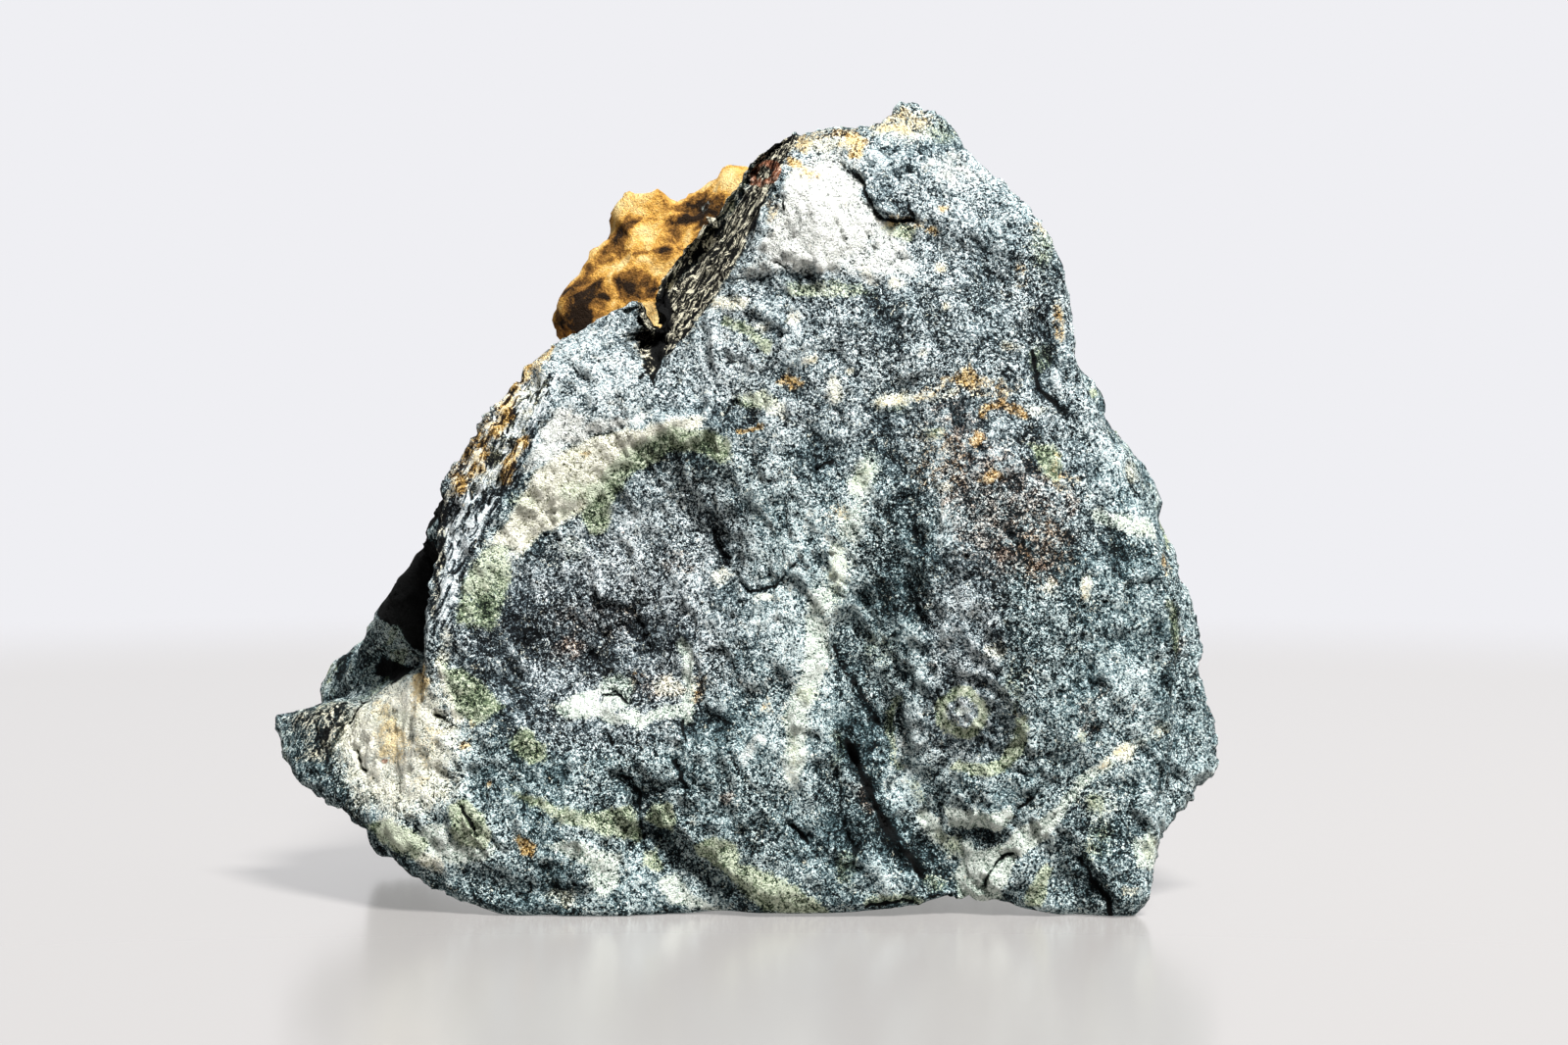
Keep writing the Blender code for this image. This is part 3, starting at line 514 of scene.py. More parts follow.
# Pulls that set broad forms right: place, how far they reach, and the pull.
PULLS = {
    "cave_wall": ((-42, 20, 35.5), (5, 18, 6), (1.3, 0, 0)),
    "shoulder_top": ((-16, 20, 61.5), (6, 14, 5), (3.8, 0, 1.8)),
    "flank_foot": ((-11.5, 18, 64.5), (4.5, 14, 6), (-2.4, 0, 0)),
    "front_hem": ((3, 0, 1.4), (19, 12, 4), (0, 0, -1.5)),
    "back_saddle": ((-10.5, 44, 78.5), (4, 12, 4), (0, 0, -1.8)),
    "back_corner": ((-17, 44, 75), (4, 12, 4), (-0.4, 0, 1)),
    "back_flank": ((-21, 44, 71), (4, 12, 4), (1.6, 0, 0)),
    "back_foot": ((-25, 44, 64), (5, 12, 5), (-2.4, 0, 0)),
    "ridge_edge": ((-38, 14, 46), (5, 14, 6), (-1, 0, 0)),
    "right_edge": ((43, 20, 31), (5, 20, 8), (0.8, 0, 0)),
    "spur_underside": ((-50, 22, 14), (7, 16, 7), (-1.4, 0, -0.7)),
    "left_hem": ((-34, 8, 3), (14, 14, 5), (-0.4, 0, -1.3)),
    "back_top": ((-6, 44, 78), (5, 12, 4), (0, 0, 1.4)),
    "crevice_floor": ((-14, 26, 61), (4, 14, 5), (0, 0, 1.2)),
    "spur_top": ((-49, 18, 22.5), (6, 11, 4), (0, 0, -1.4)),
    "spur_neck": ((-41, 14, 23.5), (5, 12, 4), (0, 0, 1)),
    "spur_point": ((-54, 24, 19.5), (4, 8, 4), (-0.6, 0, -1.2)),
}

# How steeply the flank falls away from the upper block's left edge, and how far.
FLANK_SLOPE = 2.2
FLANK_DEPTH = 9.0

# Painted shade: where the stone is painted black for the shade in its hollows, and between which depths:
# behind the left ridge, in the crevice under the upper block with the foot of the ochre rock behind it,
# and on the rock at the far left.
SHADED_HOLLOWS = (
    (area(1.0, 1.6, (-34.5, 48.5), (-36, 42), (-36.6, 35), (-37.2, 28.4), (-38.6, 26), (-41, 26.6),
          (-42.4, 29), (-45, 30), (-44.5, 35), (-41, 41), (-38, 47)), 13, 40),
    (area(0.9, 0.8, (-46, 23.4), (-44.6, 25.4), (-42.4, 24.6), (-41, 24.2), (-43, 22.8)), 10, 34),
    (area(1.0, 0.8, (-14.9, 64.6), (-13, 66.6), (-12, 63.5), (-13.4, 57), (-14.5, 59.5), (-13.8, 62.6),
          (-14.5, 64)), 6, 34),
    (area(0.7, 1.4, (-17, 58), (-16.2, 63.5), (-14.6, 65.5), (-12, 66), (-11, 58)), 32, 44),
    (area(1.0, 1.5, (-49.5, 28.5), (-46.5, 25.5), (-46, 21.5), (-42, 21), (-41, 30), (-48, 31)), 30, 60),
    (area(0.5, 2.0, (-54, 18.5), (-53, 22), (-49.5, 28), (-48.5, 25.5), (-49, 19)), 30, 60),
)

# Places whose small rings and lines need finer faces: x, z and reach.
FINE_SPOTS = ((-2.1, 78.6, 2.6), (-4.8, 52.6, 2.6), (-42.7, 15.6, 1.0))

# Directions of the break's ridges, in degrees from +X towards +Z, and how drawn out they are.
RIDGE_TURN, RIDGE_STRETCH = -62, 2.2
STREAK_TURN, STREAK_STRETCH = 64, 5.0


def swell(x, z, depth, x0, z0, wide, high, turn):
    along, across = turned(x, z, x0, z0, turn)
    reach = (along / (wide / 2)) ** 2 + (across / (high / 2)) ** 2
    return depth * np.clip(1 - reach * 0.55, 0, None) ** 2


def cut(x, z, left, right, points):
    """How far a place is inside a cut, from 0 to 1."""
    distance, side = line_distance(x, z, points)
    width = np.where(side > 0, left, right)
    return np.exp(-((distance / width) ** 1.4))


def noise_at(places, size, seed=0.0):
    """Smooth noise from about -1 to 1 at each place, with lumps of this size."""
    offset = Vector((seed, seed * 1.7, seed * 0.6))
    return np.array([noise.noise(Vector(p) / size + offset) for p in places])


def turbulence_at(places, size, octaves, seed=0.0):
    offset = Vector((seed, seed * 1.7, seed * 0.6))
    return np.array([noise.fractal(Vector(p) / size + offset, 0.8, 2.1, octaves) for p in places])


def chips_at(places, size, seed=0.0):
    """Flat facets, one to a cell, as on a hackly break: from -1 to 1."""
    offset = Vector((seed, seed * 1.7, seed * 0.6))
    heights = np.empty(len(places))
    for index, place in enumerate(places):
        point = Vector(place) / size + offset
        centre = noise.voronoi(point)[1][0]
        slope = noise.cell_vector(centre * 7.3) - Vector((0.5, 0.5, 0.5))
        heights[index] = (point - centre).dot(slope) * 2.4
    return np.clip(heights, -1, 1)


def flakes_at(places, size, steps, seed=0.0):
    """Thin flakes broken off one over another: long rises and sharp drops, from 0 to 1."""
    field = turbulence_at(places, size, 2, seed) * steps
    rise = field - np.floor(field)
    return rise * (1 - smooth_step(rise, 0.86, 1.0))


def drawn_out(place, turn, stretch):
    """Places squeezed along a direction of the front, so that a pattern on them comes out long."""
    along, across = turned(place[:, 0], place[:, 2], 0, 0, turn)
    return np.stack((along / stretch, place[:, 1] * 0.7, across), axis=1)


def marked(kind, x, z):
    """The strongest of a kind's marks at each place, overlapping ones adding up."""
    rest = np.ones(len(x))
    for each in MARKS[kind]:
        rest *= 1 - np.clip(each(x, z), 0, 1)
    return 1 - rest


def read(mesh):
    """Each vertex's place in the layout, in millimetres, and its normal."""
    count = len(mesh.vertices)
    place = np.empty(count * 3)
    facing = np.empty(count * 3)
    mesh.vertices.foreach_get("co", place)
    mesh.vertices.foreach_get("normal", facing)
    return place.reshape(-1, 3) / MM - LAYOUT_SHIFT, facing.reshape(-1, 3)


def write(mesh, place):
    mesh.vertices.foreach_set("co", ((place + LAYOUT_SHIFT) * MM).ravel())
    mesh.update()


def front_share(place, facing, low=0.05, high=0.45):
    """1 on the front break, 0 on the other sides."""
    near = 1 - smooth_step(place[:, 1], FRONT_DEPTH, FRONT_DEPTH + 9)
    return smooth_step(-facing[:, 1], low, high) * near


def placed(name, data):
    """An object of this data in the scene."""
    made = bpy.data.objects.new(name, data)
    bpy.context.scene.collection.objects.link(made)
    return made


def evaluated(obj):
    """A mesh of the object with its modifiers applied."""
    graph = bpy.context.evaluated_depsgraph_get()
    return bpy.data.meshes.new_from_object(obj.evaluated_get(graph))


def stone_blank(name):
    """A copy of the solid as one even skin."""
    form = bmesh.new()
    form.from_mesh(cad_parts[NODE].data)
    bmesh.ops.remove_doubles(form, verts=form.verts, dist=SAME_CORNER_MM * MM)
    mesh = bpy.data.meshes.new(name)
    form.to_mesh(mesh)
    form.free()
    stone = placed(name, mesh)
    skin = stone.modifiers.new("skin", "REMESH")
    skin.mode = "VOXEL"
    skin.voxel_size = VOXEL_MM * MM
    soften = stone.modifiers.new("soften", "SMOOTH")
    soften.factor = 0.5
    soften.iterations = SMOOTHING
    stone.data = evaluated(stone)
    stone.modifiers.clear()
    stone.data.name = name
    return stone


def pull_forms(mesh):
    """Sets broad forms right, and cuts the flank back from its edge."""
    place, facing = read(mesh)
    for centre, reach, pull in PULLS.values():
        share = 1 - smooth_step((((place - centre) / reach) ** 2).sum(axis=1), 0.0, 1.0)
        place += share[:, None] * np.array(pull)
    x, y, z = place.T
    distance, side = line_distance(x, z, FLANK_EDGE)
    fall = np.clip(distance * FLANK_SLOPE, 0, FLANK_DEPTH)
    near = (1 - smooth_step(y, 14, 26)) * smooth_step(-facing[:, 1], -0.1, 0.3)
    near *= area(1.0, 1.2, *FLANK)(x, z) * smooth_step(z, 56.5, 61)
    place[:, 1] += fall * (side < 0) * near
    write(mesh, place)


def halve(mesh, wanted):
    """Halves the edges of the faces whose middle, in the layout, is wanted."""
    form = bmesh.new()
    form.from_mesh(mesh)
    form.normal_update()
    middles = np.array([face.calc_center_median() for face in form.faces]) / MM - LAYOUT_SHIFT
    facing = np.array([face.normal for face in form.faces])
    chosen = wanted(middles, facing)
    edges = list({edge for face, pick in zip(form.faces, chosen) if pick for edge in face.edges})
    bmesh.ops.subdivide_edges(form, edges=edges, cuts=1, use_grid_fill=True, smooth=0.5)
    form.to_mesh(mesh)
    form.free()


def on_front(place, facing):
    return (facing[:, 1] < 0.0) & (place[:, 1] < FRONT_DEPTH + 6)


def near_lines(place, facing):
    """On the front, close to a crack or a small ring."""
    x, z = wobbled(place)
    near = np.zeros(len(x), bool)
    for _, left, right, black, points in CUTS.values():
        if black > 0.6:
            near |= line_distance(x, z, points)[0] < FINE_BY_CRACKS
    for x0, z0, reach in FINE_SPOTS:
        near |= np.hypot(x - x0, z - z0) < reach
    return near & on_front(place, facing)


def wobbled(place, broad=0.45, fine=0.2):
    """Layout x and z with a slow and a quick wander, so that no mark or crack runs straight."""
    x = place[:, 0] + noise_at(place, 2.2, 3.1) * broad
    z = place[:, 2] + noise_at(place, 2.2, 9.4) * broad
    x += noise_at(place, 0.9, 4.1) * fine
    z += noise_at(place, 0.9, 8.3) * fine
    return x, z


def sculpt(mesh):
    """Cuts the break's cracks and steps, roughens every side and stores painted light and shade from
    the relief: lighter where it stands proud, darker in its cuts.
    """
    place, facing = read(mesh)
    x, y, z = place.T
    front = front_share(place, facing)
    rind = smooth_step(y, RIND_FROM, RIND_TO)
    wobble_x, wobble_z = wobbled(place)
    depth = np.zeros(len(x))
    for shape in SWELLS.values():
        depth += swell(wobble_x, wobble_z, *shape)
    broken = np.clip(0.7 + 0.7 * noise_at(place, 2.4, 5.5), 0, 1.2)
    cuts = np.zeros(len(x))
    for deep, left, right, _, points in CUTS.values():
        cuts += deep * broken * cut(wobble_x, wobble_z, left, right, points)
    depth += cuts
    streaks = marked("strings_and_shade", x, z) * front
    drawn = drawn_out(place, STREAK_TURN, STREAK_STRETCH)
    ridged = drawn_out(place, RIDGE_TURN, RIDGE_STRETCH)
    depth += streaks * (0.45 - chips_at(drawn, 1.6, 4.2) * 0.45 - turbulence_at(drawn, 0.9, 2, 6.6) * 0.3)
    calm = (1 - 0.6 * streaks) * (1 - 0.45 * rind) * (0.5 + 0.5 * smooth_step(x, -42, -34))
    rough = chips_at(ridged, LONG_CHIPS, 3.3) * LONG_CHIPS_HIGH * calm
    rough += chips_at(place, CHIPS, 1.3) * CHIPS_HIGH * calm
    rough += chips_at(place, SMALL_CHIPS, 5.9) * SMALL_CHIPS_HIGH
    rough += (flakes_at(ridged, FLAKES, 3.0, 8.8) - 0.4) * FLAKES_HIGH * calm
    # Painted light and shade: lighter where the break stands proud, darker in its cuts.
    store(mesh, "relief_light_and_shade", np.clip(0.5 + 0.6 * (rough - cuts * 0.7), 0, 1))
    rough += turbulence_at(place, LUMPS, 3, 2.2) * (LUMPS_HIGH + RIND_LUMPS_MORE * rind)
    rough += turbulence_at(place, SMALL_LUMPS, 2, 7.7) * SMALL_LUMPS_HIGH
    lift = smooth_step(z, 0.2, 2.5)
    place += facing * ((rough - depth * front) * lift)[:, None]
    place[:, 2] = np.maximum(place[:, 2], 0)
    write(mesh, place)


def store(mesh, name, values):
    layer = mesh.attributes.new(name, "FLOAT", "POINT")
    layer.data.foreach_set("value", values.astype(np.float32))


def mark(mesh):
    """Stores how much of each colour every point of the stone has, and where shade is painted black."""
    place, facing = read(mesh)
    x, y, z = place.T
    front = front_share(place, facing, -0.25, 0.15)
    ragged_y = y + noise_at(place, 5.0, 12.0) * 8
    seen = {
        "ochre_rock_shade": 1.0, "strings_and_shade": 1 - smooth_step(ragged_y, 17, 31), "iron": 1 - smooth_step(y, 26, 32),
    }
    loose = wobbled(place, 0.7, 0.45)
    tight = wobbled(place)
    for kind in MARKS:
        at = tight if kind in CLEAN_EDGED else loose
        store(mesh, kind, marked(kind, *at) * seen.get(kind, front))
    tight_x, tight_z = tight
    # Painted shade: the cracks are painted black along their lines, for the shade inside them.
    crack_and_hollow_shade = np.zeros(len(x))
    for _, left, right, black, points in CUTS.values():
        width = 0.3 * min(left, right) + 0.1
        crack_and_hollow_shade = np.maximum(crack_and_hollow_shade, black * cut(tight_x, tight_z, width, width, points))
    crack_and_hollow_shade *= front * np.clip(1.0 + 0.8 * noise_at(place, 2.4, 5.5), 0, 1)
    # Painted shade: the hollows are painted black between their depths.
    for hollow, start, end in SHADED_HOLLOWS:
        inside = smooth_step(ragged_y, start, start + 4) * (1 - smooth_step(ragged_y, end - 8, end + 2))
        crack_and_hollow_shade = np.maximum(crack_and_hollow_shade, hollow(x, z) * inside)
    store(mesh, "crack_and_hollow_shade", crack_and_hollow_shade)
    store(mesh, "front", front)
    drift = noise_at(place, 14, 31.0) * 6
    side = 1 - smooth_step(x + drift * 2.5 - 0.4 * (z - 60), 0, 24)
    low = 1 - smooth_step(z, 40, 52)
    deep_from = RIND_FROM + 10 + low * 20
    lower = 0.5 + 0.5 * smooth_step(z, 42, 60)
    store(mesh, "rind", smooth_step(y + drift * 0.6, deep_from, deep_from + 10) * side * lower)


def linear(hex_colour):
    """An sRGB hex colour as the linear values that Blender mixes."""
    parts = [int(hex_colour[i:i + 2], 16) / 255 for i in (1, 3, 5)]
    parts = [p / 12.92 if p <= 0.04045 else ((p + 0.055) / 1.055) ** 2.4 for p in parts]
    return (*parts, 1)


def add(tree, kind, links=(), **settings):
    """Adds a node with its settings; links gives what feeds its inputs, by name or number."""
    node = tree.nodes.new(kind)
    for name, value in settings.items():
        setattr(node, name, value)
    for socket, source in dict(links).items():
        if isinstance(source, bpy.types.NodeSocket):
            tree.links.new(source, node.inputs[socket])
        else:
            node.inputs[socket].default_value = source
    return node


def ramp(tree, value, *stops):
    """A colour ramp over a value, from its stops of position and hex colour."""
    node = add(tree, "ShaderNodeValToRGB", {"Fac": value})
    elements = node.color_ramp.elements
    while len(elements) < len(stops):
        elements.new(0.5)
    for element, (position, colour) in zip(elements, stops):
        element.position = position
        element.color = linear(colour)
    return node.outputs["Color"]


# Colours of the fresh break, from its darkest specks to its brightest.
FRESH = ((0, "#050d0f"), (0.25, "#192d31"), (0.5, "#51696f"), (0.75, "#a1babd"), (1, "#e8f5f3"))

# Each kind of mark's own colours, in the order in which they lie over the fresh break.
TINTS = {
    "plum": ((0, "#080c0f"), (0.25, "#212a30"), (0.5, "#5b696f"), (0.75, "#aab8bc"), (1, "#ecf3f4")),
    "dust": ((0, "#1d2120"), (0.35, "#7b807c"), (0.65, "#d6dad3"), (1, "#fbfcf5")),
    "mint": ((0, "#0f1a18"), (0.3, "#566a60"), (0.6, "#adc0b0"), (1, "#f1f8ee")),
    "cream": ((0, "#2b2d22"), (0.3, "#8b8c70"), (0.6, "#d8d7b9"), (1, "#fdfbe9")),
    "olive": ((0, "#111a12"), (0.35, "#4c5d46"), (0.7, "#96a784"), (1, "#dbe3ca")),
    "ochre": ((0, "#2c1e0f"), (0.35, "#80602f"), (0.7, "#d3a653"), (1, "#f5e0ad")),
    "rust": ((0, "#080503"), (0.35, "#463023"), (0.62, "#b78058"), (0.9, "#f6e7d6")),
    # Painted shade: the strings' near-black stands partly for the shade on the flank.
    "strings_and_shade": ((0.2, "#030404"), (0.5, "#0e0e0c"), (0.64, "#56533f"), (0.78, "#f0ead0")),
    "iron": ((0, "#42200f"), (0.4, "#7d4930"), (0.8, "#bb8060"), (1, "#e0bca5")),
}

# Ochre earth of the weathered rind, from its brown hollows to its palest lumps, and the black
# painted as shade in the cracks and hollows.
EARTH = ((0.26, "#24180d"), (0.37, "#8a602c"), (0.46, "#dda750"), (0.64, "#f7da98"))
SHADE_BLACK = "#050606"

# How the kinds of mark end on the stone: how ragged, from which share they show, at which they are
# full, and how specked.
EDGES = {
    "dust": (1.3, 0.0, 1.0, 0.3), "cream": (1.2, 0.2, 0.9, 1.6), "mint": (1.2, 0.2, 0.85, 1.5),
    "olive": (1.2, 0.25, 0.9, 1.8), "ochre": (1.8, 0.3, 1.0, 1.6), "rust": (1.8, 0.3, 1.2, 1.8),
    "dark_and_shade": (1.0, 0.0, 1.0, 0.3), "strings_and_shade": (0.8, 0.2, 0.8, 0.8), "iron": (0.3, 0.35, 0.7, 0.9),
    "crack_and_hollow_shade": (0.9, 0.3, 0.75, 0.9), "ochre_rock_shade": (1.6, 0.2, 0.9, 0.8),
}

# How much lighter (+) or darker (-) they are than the plain break.
LIFTS = {
    "dust": 0.49, "cream": 0.6, "mint": 0.4, "olive": 0.2, "ochre": 0.14, "dark_and_shade": -0.36, "crack_and_hollow_shade": -1.5,
}


def kambaba_jasper():
    """Kambaba jasper, a hard dark green stone. The fresh break is matt and finely speckled with
    white bruises, with cream and olive bands, ochre stains and rusty specks. The weathered rind
    behind is covered with ochre earth."""
    material = bpy.data.materials.new("broken_kambaba_jasper")
    material.use_nodes = True
    tree = material.node_tree
    shader = tree.nodes["Principled BSDF"]
    coords = add(tree, "ShaderNodeTexCoord")
    mm = add(tree, "ShaderNodeMapping", {"Vector": coords.outputs["Object"], "Scale": (1000, 1000, 1000)})
    place = mm.outputs["Vector"]

    def noise_fac(size, detail, roughness=0.6, distortion=0.0, at=place):
        node = add(tree, "ShaderNodeTexNoise", {
            "Vector": at, "Scale": 1 / size, "Detail": detail, "Roughness": roughness,
            "Distortion": distortion,
        })
        return node.outputs["Fac"]

    def maths(operation, a, b=0.0, c=0.0, clamp=False):
        node = add(tree, "ShaderNodeMath", {0: a, 1: b, 2: c}, operation=operation, use_clamp=clamp)
        return node.outputs["Value"]

    def layer(name):
        return add(tree, "ShaderNodeAttribute", attribute_name=name).outputs["Fac"]

    def blend(share, under, over):
        node = add(tree, "ShaderNodeMix", {0: share, 6: under, 7: over}, data_type="RGBA")
        return node.outputs[2]

    def spread(value, low, high):
        node = add(tree, "ShaderNodeMapRange", {"Value": value, "From Min": low, "From Max": high})
        node.interpolation_type = "SMOOTHSTEP"
        return node.outputs["Result"]

    def varied(value, amount, base):
        return maths("MULTIPLY_ADD", maths("SUBTRACT", value, 0.5), amount, base)

    def drawn_noise(turn, size, stretch, detail, roughness):
        """Noise drawn out along a direction of the front."""
        level = add(tree, "ShaderNodeMapping", {"Vector": place, "Rotation": (0, math.radians(turn), 0)})
        drawn = add(tree, "ShaderNodeMapping", {
            "Vector": level.outputs["Vector"], "Scale": (1 / stretch, 1, 1),
        })
        return noise_fac(size, detail, roughness, 0.7, drawn.outputs["Vector"])

    def veins(value, middle, low, high):
        """1 along the lines where a noise passes its middle."""
        off = maths("ABSOLUTE", maths("SUBTRACT", value, middle))
        return maths("SUBTRACT", 1.0, spread(off, low, high))

    grain = noise_fac(GRAIN_MM, 2, 0.55, 1.2)
    coarse = noise_fac(0.8, 3, 0.6)
    cloud = drawn_noise(RIDGE_TURN, 5.0, 1.7, 8, 0.68)
    busy = spread(noise_fac(7.0, 3), 0.36, 0.62)
    edge = noise_fac(1.5, 5, 0.75)

    bend = add(tree, "ShaderNodeTexNoise", {"Vector": place, "Scale": 2.2, "Detail": 1})
    bent = add(tree, "ShaderNodeVectorMath", {
        0: bend.outputs["Color"], 1: (0.55, 0.55, 0.55), 2: place,
    }, operation="MULTIPLY_ADD")
    cells = add(tree, "ShaderNodeTexVoronoi", {"Vector": bent.outputs["Vector"], "Scale": 1 / FLAKE_MM})
    flake = add(tree, "ShaderNodeSeparateColor", {"Color": cells.outputs["Color"]}).outputs["Red"]

    share = {}
    for name, (ragged, low, high, specks) in EDGES.items():
        share[name] = spread(varied(grain, specks, varied(edge, ragged, layer(name))), low, high)

    away = maths("SUBTRACT", 1.0, layer("front"))
    folded = noise_fac(9.0, 2, 0.5, 1.6)
    for name, found in (
        ("mint", maths("MULTIPLY", veins(folded, 0.58, 0.0, 0.03), edge)),
        ("olive", spread(varied(edge, 0.2, folded), 0.6, 0.66)),
        ("dark_and_shade", spread(varied(edge, 0.2, folded), 0.46, 0.36)),
    ):
        share[name] = maths("MAXIMUM", share[name], maths("MULTIPLY", away, found))
    crusted = varied(noise_fac(6.0, 5, 0.65), 1.8, layer("rind"))
    rind = spread(varied(grain, 0.5, varied(edge, 0.9, crusted)), 0.35, 0.6)
    rind = maths("MULTIPLY", rind, spread(layer("rind"), 0.02, 0.3))

    wires = veins(noise_fac(0.6, 2, 0.6, 1.0), 0.5, 0.0, 0.06)
    threads = veins(noise_fac(1.1, 2, 0.6, 0.8), 0.5, 0.012, 0.045)
    slits = veins(drawn_noise(RIDGE_TURN, 2.0, 1.6, 3, 0.65), 0.47, 0.004, 0.035)

    lively = maths("MULTIPLY_ADD", busy, 0.65, 0.64)
    fine = maths("MULTIPLY_ADD", wires, 0.4, varied(flake, 0.6, varied(grain, 3.4, -0.08)))
    level = maths("MULTIPLY_ADD", fine, lively, 0.475)
    level = varied(coarse, 0.65, level)
    level = varied(cloud, 1.2, level)
    # Painted light and shade from the relief: lighter where it stands proud, darker in the cuts.
    level = varied(layer("relief_light_and_shade"), 0.8, level)
    level = maths("MULTIPLY_ADD", threads, 0.2, level)
    level = maths("MULTIPLY_ADD", slits, -0.42, level)
    for name, lift in LIFTS.items():
        level = maths("MULTIPLY_ADD", share[name], lift, level)
    calm = maths("MULTIPLY_ADD", share["dust"], -0.3, 1.0)
    level = maths("MULTIPLY_ADD", maths("SUBTRACT", level, 0.8), calm, 0.8)
    string = varied(drawn_noise(STREAK_TURN, 0.6, 6.0, 4, 0.65), 5.0, 0.43)
    string = varied(coarse, 1.6, varied(grain, 1.8, string))
    fibre = varied(drawn_noise(STREAK_TURN, 0.75, 5.0, 4, 0.7), 9.5, varied(cloud, 1.2, 0.6))
    fibre = varied(grain, 2.6, fibre)
    level = maths("MULTIPLY_ADD", layer("fibres"), maths("SUBTRACT", fibre, level), level)
    level = maths("MULTIPLY_ADD", share["strings_and_shade"], maths("SUBTRACT", string, level), level, clamp=True)

    fresh = ramp(tree, level, *FRESH)
    cover = dict(
        share, plum=layer("plum"), dust=spread(share["dust"], 0.4, 1.0),
        rust=maths("MULTIPLY", share["rust"], 0.7),
    )
    for name, stops in TINTS.items():
        fresh = blend(cover[name], fresh, ramp(tree, level, *stops))

    lumps = varied(noise_fac(12.0, 3), 0.5, noise_fac(3.5, 5, 0.6, 0.5))
    # Painted shade: the ochre rock's earth is darker where it is shaded.
    lumps = maths("MULTIPLY_ADD", share["ochre_rock_shade"], -0.18, lumps)
    earth = ramp(tree, varied(grain, 0.2, lumps), *EARTH)
    colour = blend(rind, fresh, earth)
    # Painted shade: black in the cracks and hollows.
    colour = blend(share["crack_and_hollow_shade"], colour, linear(SHADE_BLACK))
    tree.links.new(colour, shader.inputs["Base Color"])
    shader.inputs["Roughness"].default_value = 0.92
    shader.inputs["Specular IOR Level"].default_value = 0.15
    height = maths("MULTIPLY_ADD", coarse, 1.2, grain)
    height = maths("MULTIPLY_ADD", flake, 0.25, height)
    bump = add(tree, "ShaderNodeBump", {"Height": height, "Distance": 0.0005, "Strength": 1.0})
    tree.links.new(bump.outputs["Normal"], shader.inputs["Normal"])
    return material


def build_stone():
    stone = stone_blank("kambaba_jasper_stone")
    mesh = stone.data
    pull_forms(mesh)
    halve(mesh, on_front)
    halve(mesh, near_lines)
    sculpt(mesh)
    mark(mesh)
    mesh.materials.clear()
    mesh.materials.append(kambaba_jasper())
    mesh.shade_smooth()
    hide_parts(NODE)
    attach(stone, "root")
    return stone


# The photograph's view: a long lens looking down by 3 degrees.
CAMERA_PLACE_MM = (0.0, -386.43, 61.82)
CAMERA_PITCH = 3.0
CAMERA_LENS = 85.0
SENSOR_WIDTH = 36.0


def camera():
    data = bpy.data.cameras.new("camera")
    data.lens = CAMERA_LENS
    data.sensor_width = SENSOR_WIDTH
    data.clip_start = 0.01
    data.clip_end = 20
    eye = placed("camera", data)
    eye.location = (np.array(CAMERA_PLACE_MM) + LAYOUT_SHIFT) * MM
    eye.rotation_euler = (math.radians(90 - CAMERA_PITCH), 0, 0)
    bpy.context.scene.camera = eye


FLOOR_FADES_FROM, FLOOR_FADES_TO = 0.26, 0.4


def pale_stone_floor():
    """Polished pale stone: a soft sheen, and seen at a low angle it mirrors the bright backdrop."""
    material = bpy.data.materials.new("polished_pale_stone")
    material.use_nodes = True
    tree = material.node_tree
    shader = tree.nodes["Principled BSDF"]
    shader.inputs["Base Color"].default_value = linear("#6b6866")
    shader.inputs["Emission Color"].default_value = linear("#eeecea")
    shader.inputs["Emission Strength"].default_value = 0.34
    shader.inputs["Roughness"].default_value = 0.2
    shader.inputs["Specular IOR Level"].default_value = 0.14
    coords = add(tree, "ShaderNodeTexCoord")
    away = add(tree, "ShaderNodeVectorMath", {0: coords.outputs["Object"]}, operation="LENGTH")
    fade = add(tree, "ShaderNodeMapRange", {
        "Value": away.outputs["Value"], "From Min": FLOOR_FADES_FROM, "From Max": FLOOR_FADES_TO,
        "To Min": 1.0, "To Max": 0.0,
    })
    fade.interpolation_type = "SMOOTHSTEP"
    tree.links.new(fade.outputs["Result"], shader.inputs["Alpha"])
    return material


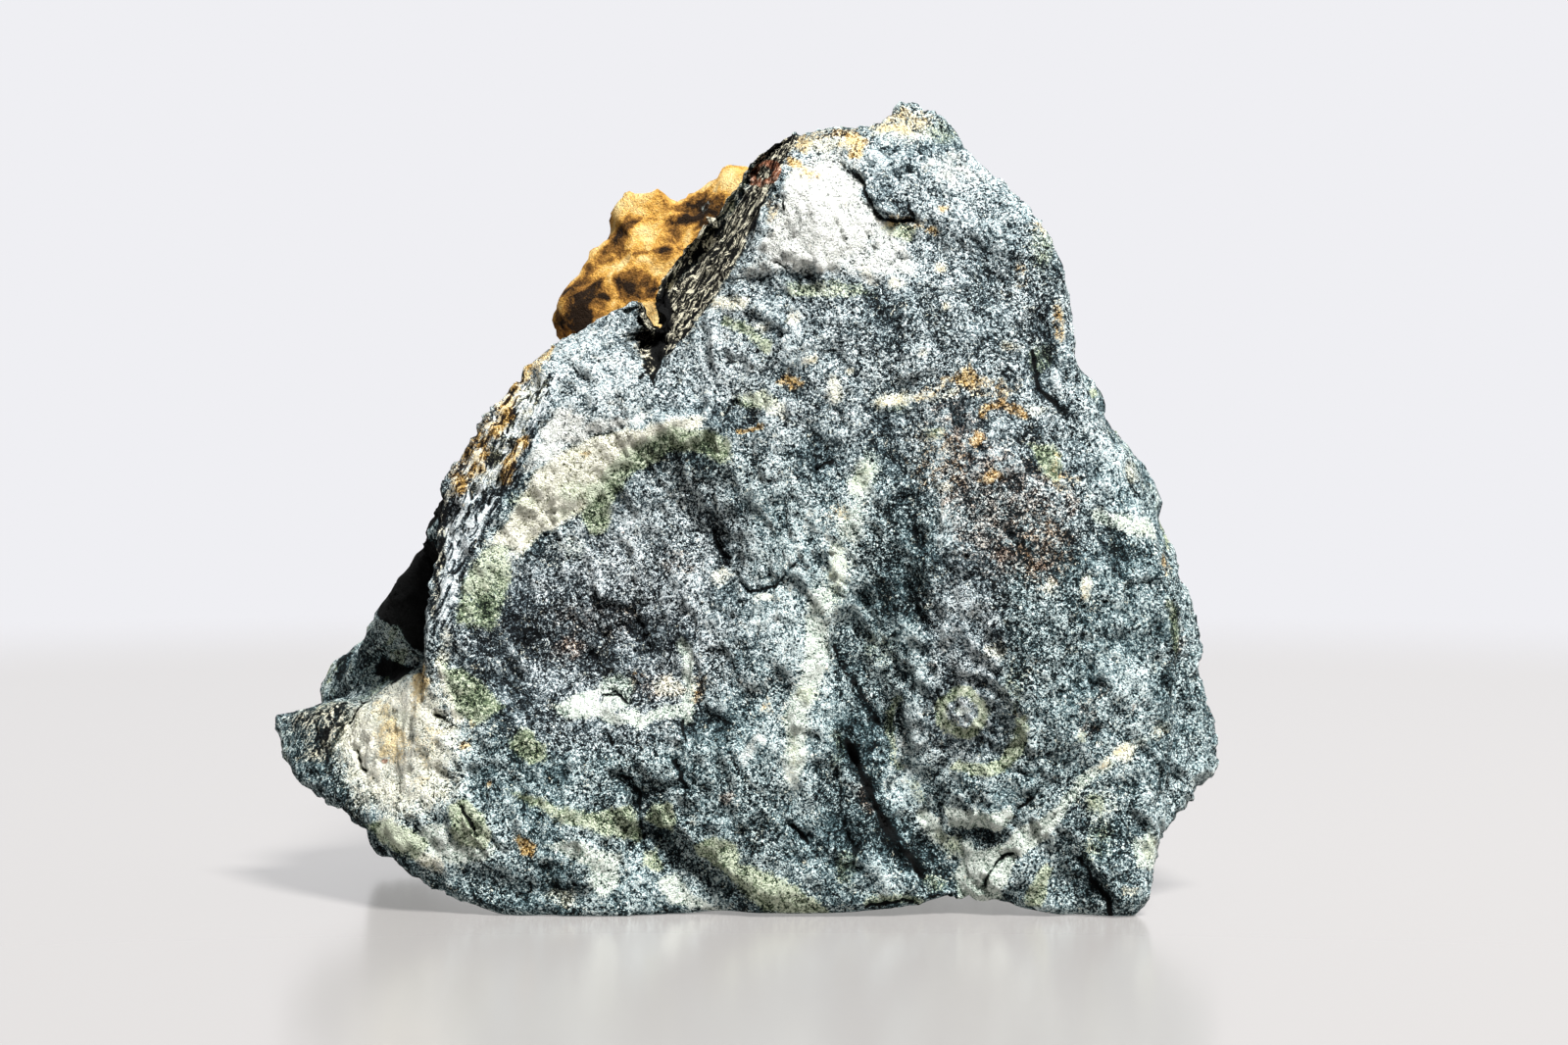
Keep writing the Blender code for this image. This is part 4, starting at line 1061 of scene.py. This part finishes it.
def floor_and_backdrop():
    """A plain pale floor that fades into the backdrop all round the stone."""
    form = bmesh.new()
    bmesh.ops.create_circle(form, cap_ends=True, segments=96, radius=FLOOR_FADES_TO)
    mesh = bpy.data.meshes.new("floor")
    form.to_mesh(mesh)
    form.free()
    floor = placed("floor", mesh)
    mesh.materials.append(pale_stone_floor())


def lamp(name, towards, distance, size, power, colour="#ffffff"):
    """A round soft light, placed in a direction from the stone and turned to it."""
    data = bpy.data.lights.new(name, "AREA")
    data.shape = "DISK"
    data.size = size
    data.energy = power
    data.color = linear(colour)[:3]
    light = placed(name, data)
    aim = Vector((0, 0, 0.04))
    direction = Vector(towards).normalized()
    light.location = aim + direction * distance
    light.rotation_euler = (-direction).to_track_quat("-Z", "Y").to_euler()


KEY_TOWARDS = (0.27, -0.44, 0.85)


def lights():
    """A bright backdrop behind, dim towards the front left, and one key from the upper right."""
    world = bpy.data.worlds.new("studio")
    bpy.context.scene.world = world
    world.use_nodes = True
    tree = world.node_tree
    sky = tree.nodes["Background"]
    coords = add(tree, "ShaderNodeTexCoord")
    parts = add(tree, "ShaderNodeSeparateXYZ", {"Vector": coords.outputs["Generated"]})
    lean = add(tree, "ShaderNodeMath", {
        0: parts.outputs["X"], 1: 0.3, 2: parts.outputs["Y"],
    }, operation="MULTIPLY_ADD")
    behind = add(tree, "ShaderNodeMapRange", {
        "Value": lean.outputs["Value"], "From Min": -0.1, "From Max": 0.9, "To Min": 0.12, "To Max": 0.97,
    })
    seen = add(tree, "ShaderNodeLightPath")
    level = add(tree, "ShaderNodeMix", {
        0: seen.outputs["Is Camera Ray"], 2: behind.outputs["Result"], 3: 1.0,
    }, data_type="FLOAT")
    sky.inputs["Color"].default_value = linear("#efeff3")
    tree.links.new(level.outputs[0], sky.inputs["Strength"])
    lamp("key", KEY_TOWARDS, 1.0, 0.36, 28)


def view_settings():
    scene = bpy.context.scene
    scene.view_settings.view_transform = "Standard"
    scene.view_settings.look = "None"


build_stone()
floor_and_backdrop()
lights()
camera()
view_settings()
